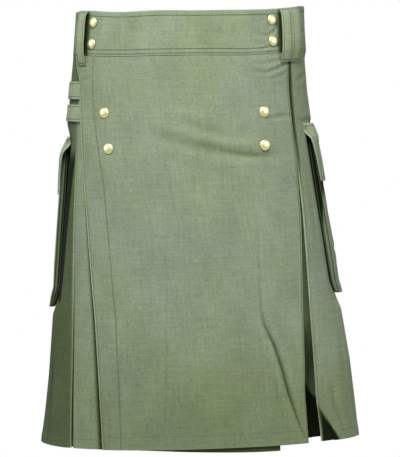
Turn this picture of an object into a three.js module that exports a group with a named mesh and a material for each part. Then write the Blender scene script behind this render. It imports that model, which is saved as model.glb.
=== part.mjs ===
// Utility kilt in millimetres, +Z up, front of the garment towards -Y.
// The origin is the centre of the waist at the mid height of the waistband.
// Places on the garment are given by three numbers:
//   turn  share of the half girth, 0 at the front centre, +1 or -1 at the back centre, + to the right
//   drop  height below the top rim, 0 at the rim and HEM_DROP at the hem
//   out   distance outwards from the body form
import * as THREE from 'three';

const CLOTH = 1.2;
const BAND_CLOTH = 2.6;
const DOUBLE_CLOTH = 1.6;
const RIM_HEIGHT = 32;
const BAND_DEPTH = 63;
const SKIRT_TOP = 63.4;
const HEM_DROP = 610;
const STITCHED_TO = 215;
const FOLD_RADIUS = 1.2;
const HEM_FOLD_RADIUS = 3.0;
const PLEAT_DEPTH = 30;
const HIP_DEPTH = 21;
const OUTLINE_POWER = 2.3;

const fabric = (colour) => new THREE.MeshStandardMaterial({ color: colour, roughness: 0.92, metalness: 0 });
const drill = fabric(0x8f9c83);
const brass = new THREE.MeshStandardMaterial({ color: 0xd8cf9a, roughness: 0.28, metalness: 1 });

// Half widths of the body form, to the viewer's left and right, and half depths to the front and back.
const FORM = table(['drop', 'left', 'right', 'front', 'back'], [
  [0, 163, 166, 120, 120],
  [60, 167, 168.5, 123, 124],
  [120, 172, 173, 125, 129],
  [160, 176, 178, 127, 134],
  [300, 187, 200, 130, 147],
  [420, 196, 220, 133, 157],
  [500, 202, 234, 136, 165],
  [576, 210, 244, 139, 171],
  [610, 214, 248, 140, 174],
]);

// Hem length below the rim round the garment.
const HEM = table(['turn', 'length'], [
  [-1, 600],
  [-0.6, 609],
  [-0.3, 612],
  [-0.12, 610],
  [0, 608],
  [0.19, 603],
  [0.34, 599],
  [0.44, 598],
  [1, 600],
]);

// Turn of each edge that runs down the garment.
const APRON_LEFT = table(['drop', 'turn'], [
  [65, -0.386],
  [77, -0.374],
  [96, -0.346],
  [152, -0.322],
  [237, -0.289],
  [293, -0.268],
  [431, -0.225],
  [519, -0.204],
  [610, -0.184],
]);
const APRON_RIGHT = table(['drop', 'turn'], [
  [65, 0.336],
  [143, 0.327],
  [215, 0.326],
  [302, 0.315],
  [372, 0.3],
  [448, 0.285],
  [538, 0.271],
  [610, 0.269],
]);
const RIGHT_PANEL = table(['drop', 'turn'], [
  [65, 0.346],
  [143, 0.336],
  [215, 0.335],
  [290, 0.333],
  [393, 0.322],
  [498, 0.312],
  [560, 0.309],
  [580, 0.317],
  [610, 0.336],
]);
const RIGHT_CREST = table(['drop', 'turn'], [
  [65, 0.4],
  [540, 0.3095],
  [610, 0.311],
]);
const LEFT_PANEL = table(['drop', 'turn'], [
  [65, -0.372],
  [150, -0.358],
  [215, -0.34],
  [293, -0.328],
  [432, -0.3],
  [521, -0.284],
  [610, -0.267],
]);
const UNDER_APRON_RIGHT = table(['drop', 'turn'], [
  [65, 0.25],
  [610, 0.211],
]);
const HIP_EDGE = 0.445;
const BACK_EDGES = [0.58, 0.715, 0.85];
const UNDER_JOIN = -0.16;
const UNDER_LEVEL = -4.2;
const LEFT_RETURN = 10;
const UNDER_SAG = 8;

// Named rows from a short table.
function table(columns, rows) {
  return rows.map((row) => Object.fromEntries(columns.map((column, i) => [column, row[i]])));
}

// Value of one column at a place between two rows.
function read(rows, key, at, column) {
  if (at <= rows[0][key]) return rows[0][column];
  for (let i = 1; i < rows.length; i++) {
    const low = rows[i - 1];
    const high = rows[i];
    if (at <= high[key]) {
      const share = (at - low[key]) / (high[key] - low[key]);
      return low[column] + (high[column] - low[column]) * share;
    }
  }
  return rows[rows.length - 1][column];
}

function ease(low, high, at) {
  const share = Math.min(1, Math.max(0, (at - low) / (high - low)));
  return share * share * (3 - 2 * share);
}

// Half of the body outline at one drop, walked from the front centre to the back centre.
const outlines = new Map();
function halfOutline(drop, side) {
  const key = `${side}:${drop.toFixed(3)}`;
  if (outlines.has(key)) return outlines.get(key);
  const width = read(FORM, 'drop', drop, side);
  const front = read(FORM, 'drop', drop, 'front');
  const back = read(FORM, 'drop', drop, 'back');
  const steps = 480;
  const points = [];
  let length = 0;
  for (let i = 0; i <= steps; i++) {
    const angle = (Math.PI * i) / steps;
    const across = Math.sin(angle);
    const along = Math.cos(angle);
    const depth = along > 0 ? front : back;
    const x = width * Math.max(0, across) ** (2 / OUTLINE_POWER);
    const y = -Math.sign(along) * depth * Math.abs(along) ** (2 / OUTLINE_POWER);
    const slopeX = (x / width) ** (OUTLINE_POWER - 1) / width;
    const slopeY = (Math.sign(y) * (Math.abs(y) / depth) ** (OUTLINE_POWER - 1)) / depth;
    const size = Math.hypot(slopeX, slopeY);
    if (i > 0) length += Math.hypot(x - points[i - 1].x, y - points[i - 1].y);
    points.push({ x, y, nx: slopeX / size, ny: slopeY / size, length });
  }
  const outline = { points, length };
  outlines.set(key, outline);
  return outline;
}

const wrap = (turn) => (turn > 1 ? turn - 2 : turn < -1 ? turn + 2 : turn);

// Millimetres along the form for one whole half girth.
function halfGirth(drop, turn) {
  return halfOutline(drop, wrap(turn) < 0 ? 'left' : 'right').length;
}

// The hips under the pockets are pressed inwards by the weight of the pouches.
const PRESS = table(['drop', 'depth'], [
  [160, 0],
  [195, 10.5],
  [390, 10],
  [430, 0],
]);
function press(turn, drop) {
  const reach = Math.abs(turn);
  const across = ease(0.37, 0.45, reach) * (1 - ease(0.66, 0.76, reach));
  return across * read(PRESS, 'drop', drop, 'depth');
}

// Height of a place: the rim rises towards the sides and the hem follows its own line.
function height(turn, drop) {
  const at = wrap(turn);
  const reach = Math.abs(at);
  const side = at < 0 ? 13 : 17;
  const rise = side * ease(0.15, 0.52, reach) + (15 - side) * ease(0.6, 1, reach);
  const hem = read(HEM, 'turn', at, 'length');
  return RIM_HEIGHT + rise * (1 - drop / HEM_DROP) - (drop * hem) / HEM_DROP;
}

// Point in space of a place on the garment.
function place(turn, drop, out) {
  const at = wrap(turn);
  const mirror = at < 0 ? -1 : 1;
  const outline = halfOutline(drop, at < 0 ? 'left' : 'right');
  const target = Math.abs(at) * outline.length;
  const points = outline.points;
  let low = 0;
  let high = points.length - 1;
  while (high - low > 1) {
    const middle = (low + high) >> 1;
    if (points[middle].length <= target) low = middle;
    else high = middle;
  }
  const a = points[low];
  const b = points[high];
  const share = (target - a.length) / (b.length - a.length);
  const nx = a.nx + (b.nx - a.nx) * share;
  const ny = a.ny + (b.ny - a.ny) * share;
  const size = Math.hypot(nx, ny);
  const away = out - press(at, drop);
  const x = a.x + (b.x - a.x) * share + (nx / size) * away;
  const y = a.y + (b.y - a.y) * share + (ny / size) * away;
  return new THREE.Vector3(mirror * x, y, height(turn, drop));
}

const group = new THREE.Group();
group.name = 'utility_kilt';

// Closed mesh from points and faces, turned so that its faces look outwards.
function addSolid(name, points, faces, material) {
  let volume = 0;
  for (const [a, b, c] of faces) {
    volume += points[a].dot(new THREE.Vector3().crossVectors(points[b], points[c]));
  }
  const turned = volume < 0 ? faces.map(([a, b, c]) => [a, c, b]) : faces;
  const geometry = new THREE.BufferGeometry();
  geometry.setAttribute('position', new THREE.Float32BufferAttribute(points.flatMap((p) => p.toArray()), 3));
  geometry.setIndex(turned.flat());
  geometry.computeVertexNormals();
  const mesh = new THREE.Mesh(geometry, material);
  mesh.name = name;
  group.add(mesh);
  return mesh;
}

// Both faces of a cloth wall from its centre line, by moving each point half the thickness to each side.
function wallLoop(line, thickness) {
  const last = line.length - 1;
  const outer = [];
  const inner = [];
  line.forEach((point, i) => {
    const before = line[Math.max(0, i - 1)];
    const after = line[Math.min(last, i + 1)];
    const inX = i > 0 ? point.x - before.x : after.x - point.x;
    const inY = i > 0 ? point.y - before.y : after.y - point.y;
    const onX = i < last ? after.x - point.x : inX;
    const onY = i < last ? after.y - point.y : inY;
    const inSize = Math.hypot(inX, inY);
    const onSize = Math.hypot(onX, onY);
    let normalX = inY / inSize + onY / onSize;
    let normalY = -inX / inSize - onX / onSize;
    const size = Math.hypot(normalX, normalY);
    normalX /= size;
    normalY /= size;
    const lean = (normalX * inY - normalY * inX) / inSize;
    const reach = thickness / 2 / Math.max(0.75, lean);
    outer.push(new THREE.Vector3(point.x + normalX * reach, point.y + normalY * reach, point.z));
    inner.push(new THREE.Vector3(point.x - normalX * reach, point.y - normalY * reach, point.z));
  });
  return outer.concat(inner.reverse());
}

// Cloth wall through one centre line for each drop, all with the same number of points.
function addWall(name, drops, path, thickness, material) {
  const points = [];
  const faces = [];
  let size = 0;
  for (const drop of drops) {
    const line = path(drop).map(([turn, out, lower = 0]) => place(turn, drop + lower, out));
    const loop = wallLoop(line, thickness);
    size = loop.length;
    points.push(...loop);
  }
  for (let ring = 0; ring + 1 < drops.length; ring++) {
    for (let i = 0; i < size; i++) {
      const a = ring * size + i;
      const b = ring * size + ((i + 1) % size);
      faces.push([a, b, b + size], [a, b + size, a + size]);
    }
  }
  const end = (drops.length - 1) * size;
  for (let i = 0; i + 1 < size / 2; i++) {
    const j = size - 1 - i;
    faces.push([i, j, j - 1], [i, j - 1, i + 1]);
    faces.push([end + i, end + j - 1, end + j], [end + i, end + i + 1, end + j - 1]);
  }
  return addSolid(name, points, faces, material);
}

// Run of points between two places, the first one left out.
function run(line, turn, out, steps) {
  const [fromTurn, fromOut] = line[line.length - 1];
  for (let i = 1; i <= steps; i++) {
    const share = i / steps;
    line.push([fromTurn + (turn - fromTurn) * share, fromOut + (out - fromOut) * share]);
  }
}

// Half-round fold: the cloth at the end of the line turns back at another level.
function fold(line, way, out, drop) {
  const [turn, fromOut] = line[line.length - 1];
  const radius = Math.abs(out - fromOut) / 2;
  const bulge = (way * radius) / halfGirth(drop, turn);
  line.push([turn + bulge * 0.72, fromOut + (out - fromOut) * 0.15]);
  line.push([turn + bulge, (fromOut + out) / 2]);
  line.push([turn + bulge * 0.72, fromOut + (out - fromOut) * 0.85]);
  line.push([turn, out]);
}

// Pleats are pressed flat down to the end of their stitching and open towards the hem.
const foldRadius = (drop) => FOLD_RADIUS + (HEM_FOLD_RADIUS - FOLD_RADIUS) * ease(STITCHED_TO, HEM_DROP, drop);
const hipDepth = (drop) => HIP_DEPTH + (PLEAT_DEPTH - HIP_DEPTH) * ease(STITCHED_TO, HEM_DROP, drop);
const shareOf = (length, drop, turn) => length / halfGirth(drop, turn);

const SKIRT_DROPS = [SKIRT_TOP, 110, 160, 195, 250, 320, 390, 430, 480, 525, 575, 610];
const BACK_DROPS = [SKIRT_TOP, 160, 195, 290, 390, 430, 520, 610];
const RIGHT_DROPS = [SKIRT_TOP, 110, 160, 195, 250, 320, 390, 430, 480, 525, 560, 585, 610];
const APRON_DROPS = [SKIRT_TOP, 79, 97, 125, 160, 195, 250, 320, 390, 430, 480, 525, 575, 610];

// Outer apron: flat face from its free left edge to the right fold, then the turned-back part.
function apronPath(drop) {
  const left = read(APRON_LEFT, 'drop', drop, 'turn');
  const right = read(APRON_RIGHT, 'drop', drop, 'turn');
  const radius = foldRadius(drop);
  const line = [[left, 0]];
  run(line, right, 0, 20);
  fold(line, 1, -2 * radius, drop);
  run(line, right - shareOf(hipDepth(drop), drop, right), -2 * radius, 3);
  return line;
}
addWall('front_apron', APRON_DROPS, apronPath, CLOTH, drill);

// Inner apron: hangs from the inner end of the waistband and joins the left pleats.
function underPath(drop) {
  const line = [[UNDER_JOIN + shareOf(0.4, drop, UNDER_JOIN), UNDER_LEVEL]];
  run(line, read(UNDER_APRON_RIGHT, 'drop', drop, 'turn'), UNDER_LEVEL, 9);
  if (drop < HEM_DROP) return line;
  return line.map(([turn, out]) => [turn, out, UNDER_SAG * ease(-0.16, 0.2, turn)]);
}
addWall('under_apron', SKIRT_DROPS, underPath, CLOTH, drill);

// Right hip: underlay behind the opening, front fold of the panel, panel face, hip fold. The opening grows
// deeper towards the hem, and there the face of the panel is pressed in behind its front fold.
const OPENING_DEPTH = 34;
function rightPath(drop) {
  const radius = foldRadius(drop);
  const apron = read(APRON_RIGHT, 'drop', drop, 'turn');
  const panel = read(RIGHT_PANEL, 'drop', drop, 'turn');
  const crest = Math.min(panel, read(RIGHT_CREST, 'drop', drop, 'turn'));
  const depth = shareOf(hipDepth(drop), drop, apron);
  const deep = OPENING_DEPTH * ease(430, 560, drop);
  const pressed = -(2 * radius - 1.8) * ease(540, 600, drop);
  const line = [[apron - depth + shareOf(2, drop, apron), -4 * radius - deep]];
  run(line, panel + depth - shareOf(deep * 0.55, drop, panel), -4 * radius - deep, 5);
  fold(line, 1, -2 * radius, drop);
  run(line, crest, -2 * radius, 3);
  fold(line, -1, pressed, drop);
  run(line, panel + 0.004, pressed, 2);
  run(line, panel + 0.008, 0, 1);
  run(line, HIP_EDGE, 0, 5);
  fold(line, 1, -2 * radius, drop);
  run(line, HIP_EDGE - depth, -2 * radius, 2);
  return line;
}
addWall('pleats_right', RIGHT_DROPS, rightPath, CLOTH, drill);

// Left hip: the first panel starts under the outer apron, then the same folds as on the right.
function leftPath(drop) {
  const radius = foldRadius(drop);
  const first = read(LEFT_PANEL, 'drop', drop, 'turn');
  const slit = shareOf(2 * radius + 1.8, drop, first) + 0.01 * ease(STITCHED_TO, HEM_DROP, drop);
  const second = first - slit;
  const depth = shareOf(hipDepth(drop) * 0.7, drop, first);
  const line = [[UNDER_JOIN, UNDER_LEVEL]];
  run(line, first, UNDER_LEVEL, 6);
  fold(line, -1, UNDER_LEVEL - 2 * radius, drop);
  run(line, first + depth, UNDER_LEVEL - 2 * radius, 2);
  fold(line, 1, UNDER_LEVEL - 4 * radius, drop);
  run(line, second - depth, UNDER_LEVEL - 4 * radius, 4);
  fold(line, -1, UNDER_LEVEL - 2 * radius, drop);
  run(line, second, UNDER_LEVEL - 2 * radius, 2);
  fold(line, 1, UNDER_LEVEL, drop);
  run(line, -0.42, -0.4, 4);
  run(line, -HIP_EDGE, 0, 1);
  fold(line, -1, -2 * radius, drop);
  run(line, -HIP_EDGE + shareOf(LEFT_RETURN, drop, first), -2 * radius, 2);
  return line;
}
addWall('pleats_left', SKIRT_DROPS, leftPath, CLOTH, drill);

// Back: knife pleats that face the back centre on both halves.
function backHalf(drop, side) {
  const radius = foldRadius(drop);
  const depth = shareOf(PLEAT_DEPTH, drop, side);
  const start = (side > 0 ? hipDepth(drop) : LEFT_RETURN) - 2;
  const line = [[HIP_EDGE - shareOf(start, drop, side), -4 * radius]];
  run(line, HIP_EDGE + shareOf(3, drop, side), -4 * radius, 1);
  for (const edge of BACK_EDGES) {
    run(line, edge, 0, 4);
    fold(line, 1, -2 * radius, drop);
    run(line, edge - depth, -2 * radius, 1);
    fold(line, -1, -4 * radius, drop);
    run(line, edge + shareOf(3, drop, side), -4 * radius, 1);
  }
  return line;
}
function backPath(drop) {
  const right = backHalf(drop, 1);
  const left = backHalf(drop, -1).reverse();
  const radius = foldRadius(drop);
  run(right, 1, -2 * radius, 3);
  return right.concat(left.map(([turn, out]) => [2 - turn, out]));
}
addWall('pleats_back', BACK_DROPS, backPath, CLOTH, drill);

// Waistband: starts inside on the right, crosses the front inside, goes round the back and the right
// side, and crosses the front again outside to its free end on the left.
function bandPath() {
  const line = [[0.3, -5]];
  run(line, -0.4, -5, 14);
  run(line, -0.47, 0, 3);
  run(line, -1, 0, 12);
  run(line, -2 + 0.42, 0, 14);
  run(line, -2 - 0.385, 0, 26);
  return line.map(([turn, out]) => [turn < -1 ? turn + 2 : turn, out]);
}
addWall('waistband', [0, 21, 42, BAND_DEPTH], bandPath, BAND_CLOTH, drill);

// Strip that arches over the cloth: a profile of drops and levels, straight across its width.
function addStrip(name, profile, from, to, steps, thickness, material) {
  const points = [];
  const faces = [];
  const columns = steps + 1;
  profile.forEach(([drop, out], i) => {
    const before = profile[Math.max(0, i - 1)];
    const after = profile[Math.min(profile.length - 1, i + 1)];
    const size = Math.hypot(after[0] - before[0], after[1] - before[1]);
    const down = (after[1] - before[1]) / size;
    const away = (after[0] - before[0]) / size;
    for (const side of [1, -1]) {
      for (let j = 0; j < columns; j++) {
        const turn = from(drop) + ((to(drop) - from(drop)) * j) / steps;
        const reach = (side * thickness) / 2;
        points.push(place(turn, drop - down * reach, out + away * reach));
      }
    }
  });
  const at = (row, side, column) => (row * 2 + side) * columns + column;
  const quad = (a, b, c, d) => faces.push([a, b, c], [a, c, d]);
  const rows = profile.length;
  for (let row = 0; row + 1 < rows; row++) {
    for (let j = 0; j < steps; j++) {
      quad(at(row, 0, j), at(row + 1, 0, j), at(row + 1, 0, j + 1), at(row, 0, j + 1));
      quad(at(row, 1, j), at(row, 1, j + 1), at(row + 1, 1, j + 1), at(row + 1, 1, j));
    }
    quad(at(row, 0, 0), at(row, 1, 0), at(row + 1, 1, 0), at(row + 1, 0, 0));
    quad(at(row, 0, steps), at(row + 1, 0, steps), at(row + 1, 1, steps), at(row, 1, steps));
  }
  for (let j = 0; j < steps; j++) {
    quad(at(0, 0, j), at(0, 0, j + 1), at(0, 1, j + 1), at(0, 1, j));
    quad(at(rows - 1, 0, j), at(rows - 1, 1, j), at(rows - 1, 1, j + 1), at(rows - 1, 0, j + 1));
  }
  return addSolid(name, points, faces, material);
}

// Belt loops, sewn at the rim and just below the waistband: one on the left front, pairs elsewhere.
const LOOP_WIDTH = 18;
const LOOP_PROFILE = [[0.8, 2.2], [3, 5.8], [9, 8.1], [20, 8.9], [46, 8.9], [60, 7.6], [70, 4.6], [77, 2]];
const LOOPS = table(['name', 'turn'], [
  ['front_left_inner', -0.333],
  ['front_right_inner', 0.321],
  ['front_right_outer', 0.3608],
  ['back_left_outer', -0.7],
  ['back_left_inner', -0.751],
  ['back_right_outer', 0.7],
  ['back_right_inner', 0.751],
]);
for (const loop of LOOPS) {
  const half = shareOf(LOOP_WIDTH / 2, 30, loop.turn);
  const from = () => loop.turn - half;
  const to = () => loop.turn + half;
  addStrip(`loop_${loop.name}`, LOOP_PROFILE, from, to, 3, DOUBLE_CLOTH, drill);
}

// Closing straps on the left hip: they leave the space under the apron edge and lie over the hip.
function strapPath() {
  const line = [[-0.3, -2]];
  run(line, -0.352, -2, 3);
  run(line, -0.385, 0.4, 2);
  run(line, -0.425, 1.9, 3);
  run(line, -0.53, 1.9, 5);
  return line;
}
addWall('strap_upper', [100, 124.5], strapPath, DOUBLE_CLOTH, drill);
addWall('strap_lower', [132.5, 156], strapPath, DOUBLE_CLOTH, drill);

// Cargo pocket: hollow pouch with folded side gussets, open at the top under its flap.
const POUCH_WIDTH = 150;
const POUCH_BACK = 1.8;
const POUCH_STEPS = 8;
const POUCH_ROWS = table(['down', 'depth'], [
  [0, 8.4],
  [30, 9.6],
  [90, 10],
  [160, 10.5],
  [205, 9.5],
  [219, 7.5],
]);
function pouchLoop(drop, down, front, depth, inset) {
  const across = [];
  const wide = POUCH_WIDTH;
  const face = POUCH_BACK + depth;
  const middle = (POUCH_BACK + face) / 2;
  const gusset = 6;
  const steps = POUCH_STEPS;
  for (let i = 0; i <= steps; i++) across.push([inset + ((wide - 2 * inset) * i) / steps, POUCH_BACK + inset]);
  across.push([wide - gusset - inset, middle]);
  for (let i = steps; i >= 0; i--) {
    const bulge = 1.5 * Math.min(1, down / 90) * Math.sin((Math.PI * i) / steps);
    across.push([inset + ((wide - 2 * inset) * i) / steps, face + bulge - inset]);
  }
  across.push([gusset + inset, middle]);
  return across.map(([along, out]) => [front + shareOf(along, drop, front), out]);
}
// Floor of the pouch: strips from the back panel to the face, with the two gusset folds at the ends.
function pouchFloor(size) {
  const back = (i) => i;
  const face = (i) => 2 * POUCH_STEPS + 2 - i;
  const last = POUCH_STEPS;
  const near = size - 1;
  const far = last + 1;
  const floor = [[0, 1, near], [1, face(1), near], [face(1), face(0), near]];
  for (let i = 1; i + 1 < last; i++) {
    floor.push([back(i), back(i + 1), face(i + 1)], [back(i), face(i + 1), face(i)]);
  }
  floor.push([last - 1, last, far], [last - 1, far, face(last - 1)], [face(last - 1), far, face(last)]);
  return floor;
}
function addPouch(name, side, top) {
  const points = [];
  const faces = [];
  const front = (down) => 0.4 + 0.03 * (down / 219);
  const level = (down, depth, inset) => {
    const drop = top + down;
    const loop = pouchLoop(drop, down, front(down), depth, inset);
    return loop.map(([turn, out]) => place(side * turn, drop, out));
  };
  const outer = POUCH_ROWS.map((row) => level(row.down, row.depth, 0));
  const inner = POUCH_ROWS.map((row, i) => {
    const down = i === POUCH_ROWS.length - 1 ? row.down - CLOTH : row.down;
    return level(down, row.depth, CLOTH);
  });
  const loops = outer.reverse().concat(inner);
  const size = loops[0].length;
  loops.forEach((loop) => points.push(...loop));
  for (let ring = 0; ring + 1 < loops.length; ring++) {
    for (let i = 0; i < size; i++) {
      const a = ring * size + i;
      const b = ring * size + ((i + 1) % size);
      faces.push([a, b, b + size], [a, b + size, a + size]);
    }
  }
  const far = (loops.length - 1) * size;
  for (const [a, b, c] of pouchFloor(size)) {
    faces.push([a, c, b], [far + a, far + b, far + c]);
  }
  return addSolid(name, points, faces, drill);
}

// Flap: sewn above the pouch, rolls over its mouth and hangs in front of its face.
const FLAP_PROFILE = [[-22, 2.2], [-14, 6.8], [-4, 12.2], [6, 14.6], [30, 15.8], [60, 15.8]];
function addFlap(name, side, top) {
  const profile = FLAP_PROFILE.map(([down, out]) => [top + down, out]);
  const from = (drop) => side * (0.375 + (0.035 * (drop - top + 22)) / 82);
  const to = (drop) => from(drop) + side * shareOf(POUCH_WIDTH + 12, drop, side);
  return addStrip(name, profile, from, to, 8, DOUBLE_CLOTH, drill);
}
addPouch('pocket_left', -1, 200);
addPouch('pocket_right', 1, 188);
addFlap('flap_left', -1, 200);
addFlap('flap_right', 1, 188);

// Snap caps: shallow domes with a rolled rim, on the waistband and on the apron.
const SNAP_PROFILE = table(['radius', 'rise'], [
  [7.4, 0],
  [7.5, 1],
  [6.7, 1.7],
  [4.2, 2.7],
]);
const SNAPS = table(['name', 'turn', 'drop', 'out'], [
  ['band_left_upper', -0.2925, 16, 1.3],
  ['band_left_lower', -0.294, 46, 1.3],
  ['band_right_upper', 0.2775, 15.5, 1.3],
  ['band_right_lower', 0.279, 45.5, 1.3],
  ['apron_left_upper', -0.229, 142, 0.6],
  ['apron_left_lower', -0.209, 192, 0.6],
  ['apron_right_upper', 0.236, 144, 0.6],
  ['apron_right_lower', 0.23, 191, 0.6],
]);
for (const snap of SNAPS) {
  const base = place(snap.turn, snap.drop, snap.out + 0.75);
  const tip = place(snap.turn, snap.drop, snap.out + 1.6);
  const axis = tip.clone().sub(base).normalize();
  const up = new THREE.Vector3(0, 0, 1);
  const across = new THREE.Vector3().crossVectors(up, axis).normalize();
  const segments = 14;
  const points = [];
  const faces = [];
  for (const row of SNAP_PROFILE) {
    for (let i = 0; i < segments; i++) {
      const angle = (2 * Math.PI * i) / segments;
      const spoke = across.clone().multiplyScalar(Math.cos(angle)).addScaledVector(up, Math.sin(angle));
      points.push(base.clone().addScaledVector(spoke, row.radius).addScaledVector(axis, row.rise));
    }
  }
  const rows = SNAP_PROFILE.length;
  for (let row = 0; row + 1 < rows; row++) {
    for (let i = 0; i < segments; i++) {
      const a = row * segments + i;
      const b = row * segments + ((i + 1) % segments);
      faces.push([a, b, b + segments], [a, b + segments, a + segments]);
    }
  }
  const bottom = points.length;
  points.push(base.clone());
  const peak = points.length;
  points.push(base.clone().addScaledVector(axis, 3.2));
  for (let i = 0; i < segments; i++) {
    const j = (i + 1) % segments;
    faces.push([bottom, j, i]);
    faces.push([peak, (rows - 1) * segments + i, (rows - 1) * segments + j]);
  }
  addSolid(`snap_${snap.name}`, points, faces, brass);
}

export default group;
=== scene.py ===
# %% [markdown]
# # A worn-shaped utility kilt, piece by piece
#
# A kilt like this is cut from one heavy cotton drill: a flat front apron that wraps over to one side,
# pleats round the hips and back, a stiff waistband with belt loops, cargo pockets that hang on the hips
# and a few snap caps. In this lesson every piece of cloth is a surface worked out with numpy and given a
# real thickness, and the sewing is modelled too: stitches, bar tacks, turned hems and creases.
#
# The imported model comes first. It is the fixed frame that every piece of cloth has to fit.

# %% Load the frame
import math

import bpy
import numpy as np
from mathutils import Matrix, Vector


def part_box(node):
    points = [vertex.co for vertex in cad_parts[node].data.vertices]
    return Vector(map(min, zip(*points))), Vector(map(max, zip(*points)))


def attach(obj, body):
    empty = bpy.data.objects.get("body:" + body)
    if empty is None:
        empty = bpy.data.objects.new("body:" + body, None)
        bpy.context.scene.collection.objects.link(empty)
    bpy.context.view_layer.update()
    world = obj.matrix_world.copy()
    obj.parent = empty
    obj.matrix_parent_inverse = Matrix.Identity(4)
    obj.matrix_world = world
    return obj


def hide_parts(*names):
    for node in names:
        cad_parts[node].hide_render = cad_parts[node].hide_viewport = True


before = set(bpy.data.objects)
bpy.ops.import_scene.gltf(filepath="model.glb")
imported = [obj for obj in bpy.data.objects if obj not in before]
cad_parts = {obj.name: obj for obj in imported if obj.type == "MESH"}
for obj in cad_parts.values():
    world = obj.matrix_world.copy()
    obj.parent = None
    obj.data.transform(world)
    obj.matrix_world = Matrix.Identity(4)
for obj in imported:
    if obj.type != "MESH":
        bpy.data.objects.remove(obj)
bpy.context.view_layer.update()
print("solids in the frame:", len(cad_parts))

# %% [markdown]
# ## The body form
#
# Everything hangs on one soft form, wider than it is deep. At each height its outline is a superellipse,
# (|x| / half width)^p + (|y| / half depth)^p = 1, with its own half sizes to the left, right, front and
# back. A place on the garment is then given by three numbers, which is how a pattern cutter thinks too:
# **turn** (share of the half girth, 0 at the front centre, 1 or -1 at the back centre), **drop**
# (millimetres below the rim) and **out** (millimetres outwards from the form).

# %% Half sizes of the form at each drop, in millimetres
POWER = 2.3
RIM_HEIGHT = 32.0
HEM_DROP = 610.0
FORM = np.array(
    [
        # drop, left, right, front, back
        (0, 163, 166, 120, 120),
        (60, 167, 168.5, 123, 124),
        (120, 172, 173, 125, 129),
        (160, 176, 178, 127, 134),
        (300, 187, 200, 130, 147),
        (420, 196, 220, 133, 157),
        (500, 202, 234, 136, 165),
        (576, 210, 244, 139, 171),
        (610, 214, 248, 140, 174),
        (640, 217, 252, 141, 177),
    ]
)


def table(*rows):
    """Two-column table: the first column is where, the second is what."""
    where, what = np.array(rows, float).T
    return lambda at: np.interp(at, where, what)


hem_length = table((-1, 600), (-0.6, 609), (-0.3, 612), (-0.12, 610), (0, 608), (0.19, 603), (0.34, 599),
                   (0.44, 598), (1, 600))
press_depth = table((160, 0), (195, 10.5), (390, 10), (430, 0))
print("hem length below the rim at the front:", float(hem_length(0)), "mm")


# %% A smooth step and the outline walked by its length
def ease(low, high, at):
    """Smooth step from 0 at low to 1 at high: 3 s^2 - 2 s^3 with s the share of the way."""
    share = np.clip((np.asarray(at, float) - low) / (high - low), 0, 1)
    return share * share * (3 - 2 * share)


TURNS = 801
DROP_STEP = 5.0
DROPS = np.arange(-10, 645, DROP_STEP)


def outline_table(side):
    """x, y and normal of half the outline at even steps of its length, one row for each drop.

    x = a sin(t)^(2/p) and y = -b cos(t)^(2/p) run over the outline, and the length along it is
    summed and then read at even steps, so that a step in turn is a true length on the cloth.
    """
    column = {"left": 1, "right": 2}[side]
    angle = np.linspace(0, np.pi, 2001)
    rows = []
    for drop in DROPS:
        width = np.interp(drop, FORM[:, 0], FORM[:, column])
        front = np.interp(drop, FORM[:, 0], FORM[:, 3])
        back = np.interp(drop, FORM[:, 0], FORM[:, 4])
        depth = np.where(np.cos(angle) > 0, front, back)
        x = width * np.abs(np.sin(angle)) ** (2 / POWER)
        y = -np.sign(np.cos(angle)) * depth * np.abs(np.cos(angle)) ** (2 / POWER)
        nx = (x / width) ** (POWER - 1) / width
        ny = np.sign(y) * (np.abs(y) / depth) ** (POWER - 1) / depth
        size = np.hypot(nx, ny)
        length = np.concatenate([[0], np.cumsum(np.hypot(np.diff(x), np.diff(y)))])
        even = np.linspace(0, length[-1], TURNS)
        rows.append([np.interp(even, length, v) for v in (x, y, nx / size, ny / size)] + [even])
    return np.array(rows)


OUTLINES = {"left": outline_table("left"), "right": outline_table("right")}
print("waist girth:", round(sum(t[2, 4, -1] for t in OUTLINES.values())), "mm")


# %% Any place on the garment, for whole arrays at once
def wrap(turn):
    """Turn brought back to the range -1 to 1 past the back centre."""
    turn = np.where(turn > 1, turn - 2, turn)
    return np.where(turn < -1, turn + 2, turn)


def half_girth(drop, turn):
    """Length of the half outline on the side that the turn lies on."""
    left = np.interp(drop, DROPS, OUTLINES["left"][:, 4, -1])
    right = np.interp(drop, DROPS, OUTLINES["right"][:, 4, -1])
    return np.where(wrap(turn) < 0, left, right)


def height(turn, drop):
    """The rim rises towards the sides, and the hem follows its own line."""
    side = np.where(turn < 0, 13.0, 17.0)
    reach = np.abs(turn)
    rise = side * ease(0.15, 0.52, reach) + (15 - side) * ease(0.6, 1, reach)
    return RIM_HEIGHT + rise * (1 - drop / HEM_DROP) - drop * hem_length(turn) / HEM_DROP


def press(turn, drop):
    """The hips are pushed in under the pockets."""
    reach = np.abs(turn)
    return ease(0.37, 0.45, reach) * (1 - ease(0.66, 0.76, reach)) * press_depth(drop)


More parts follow.
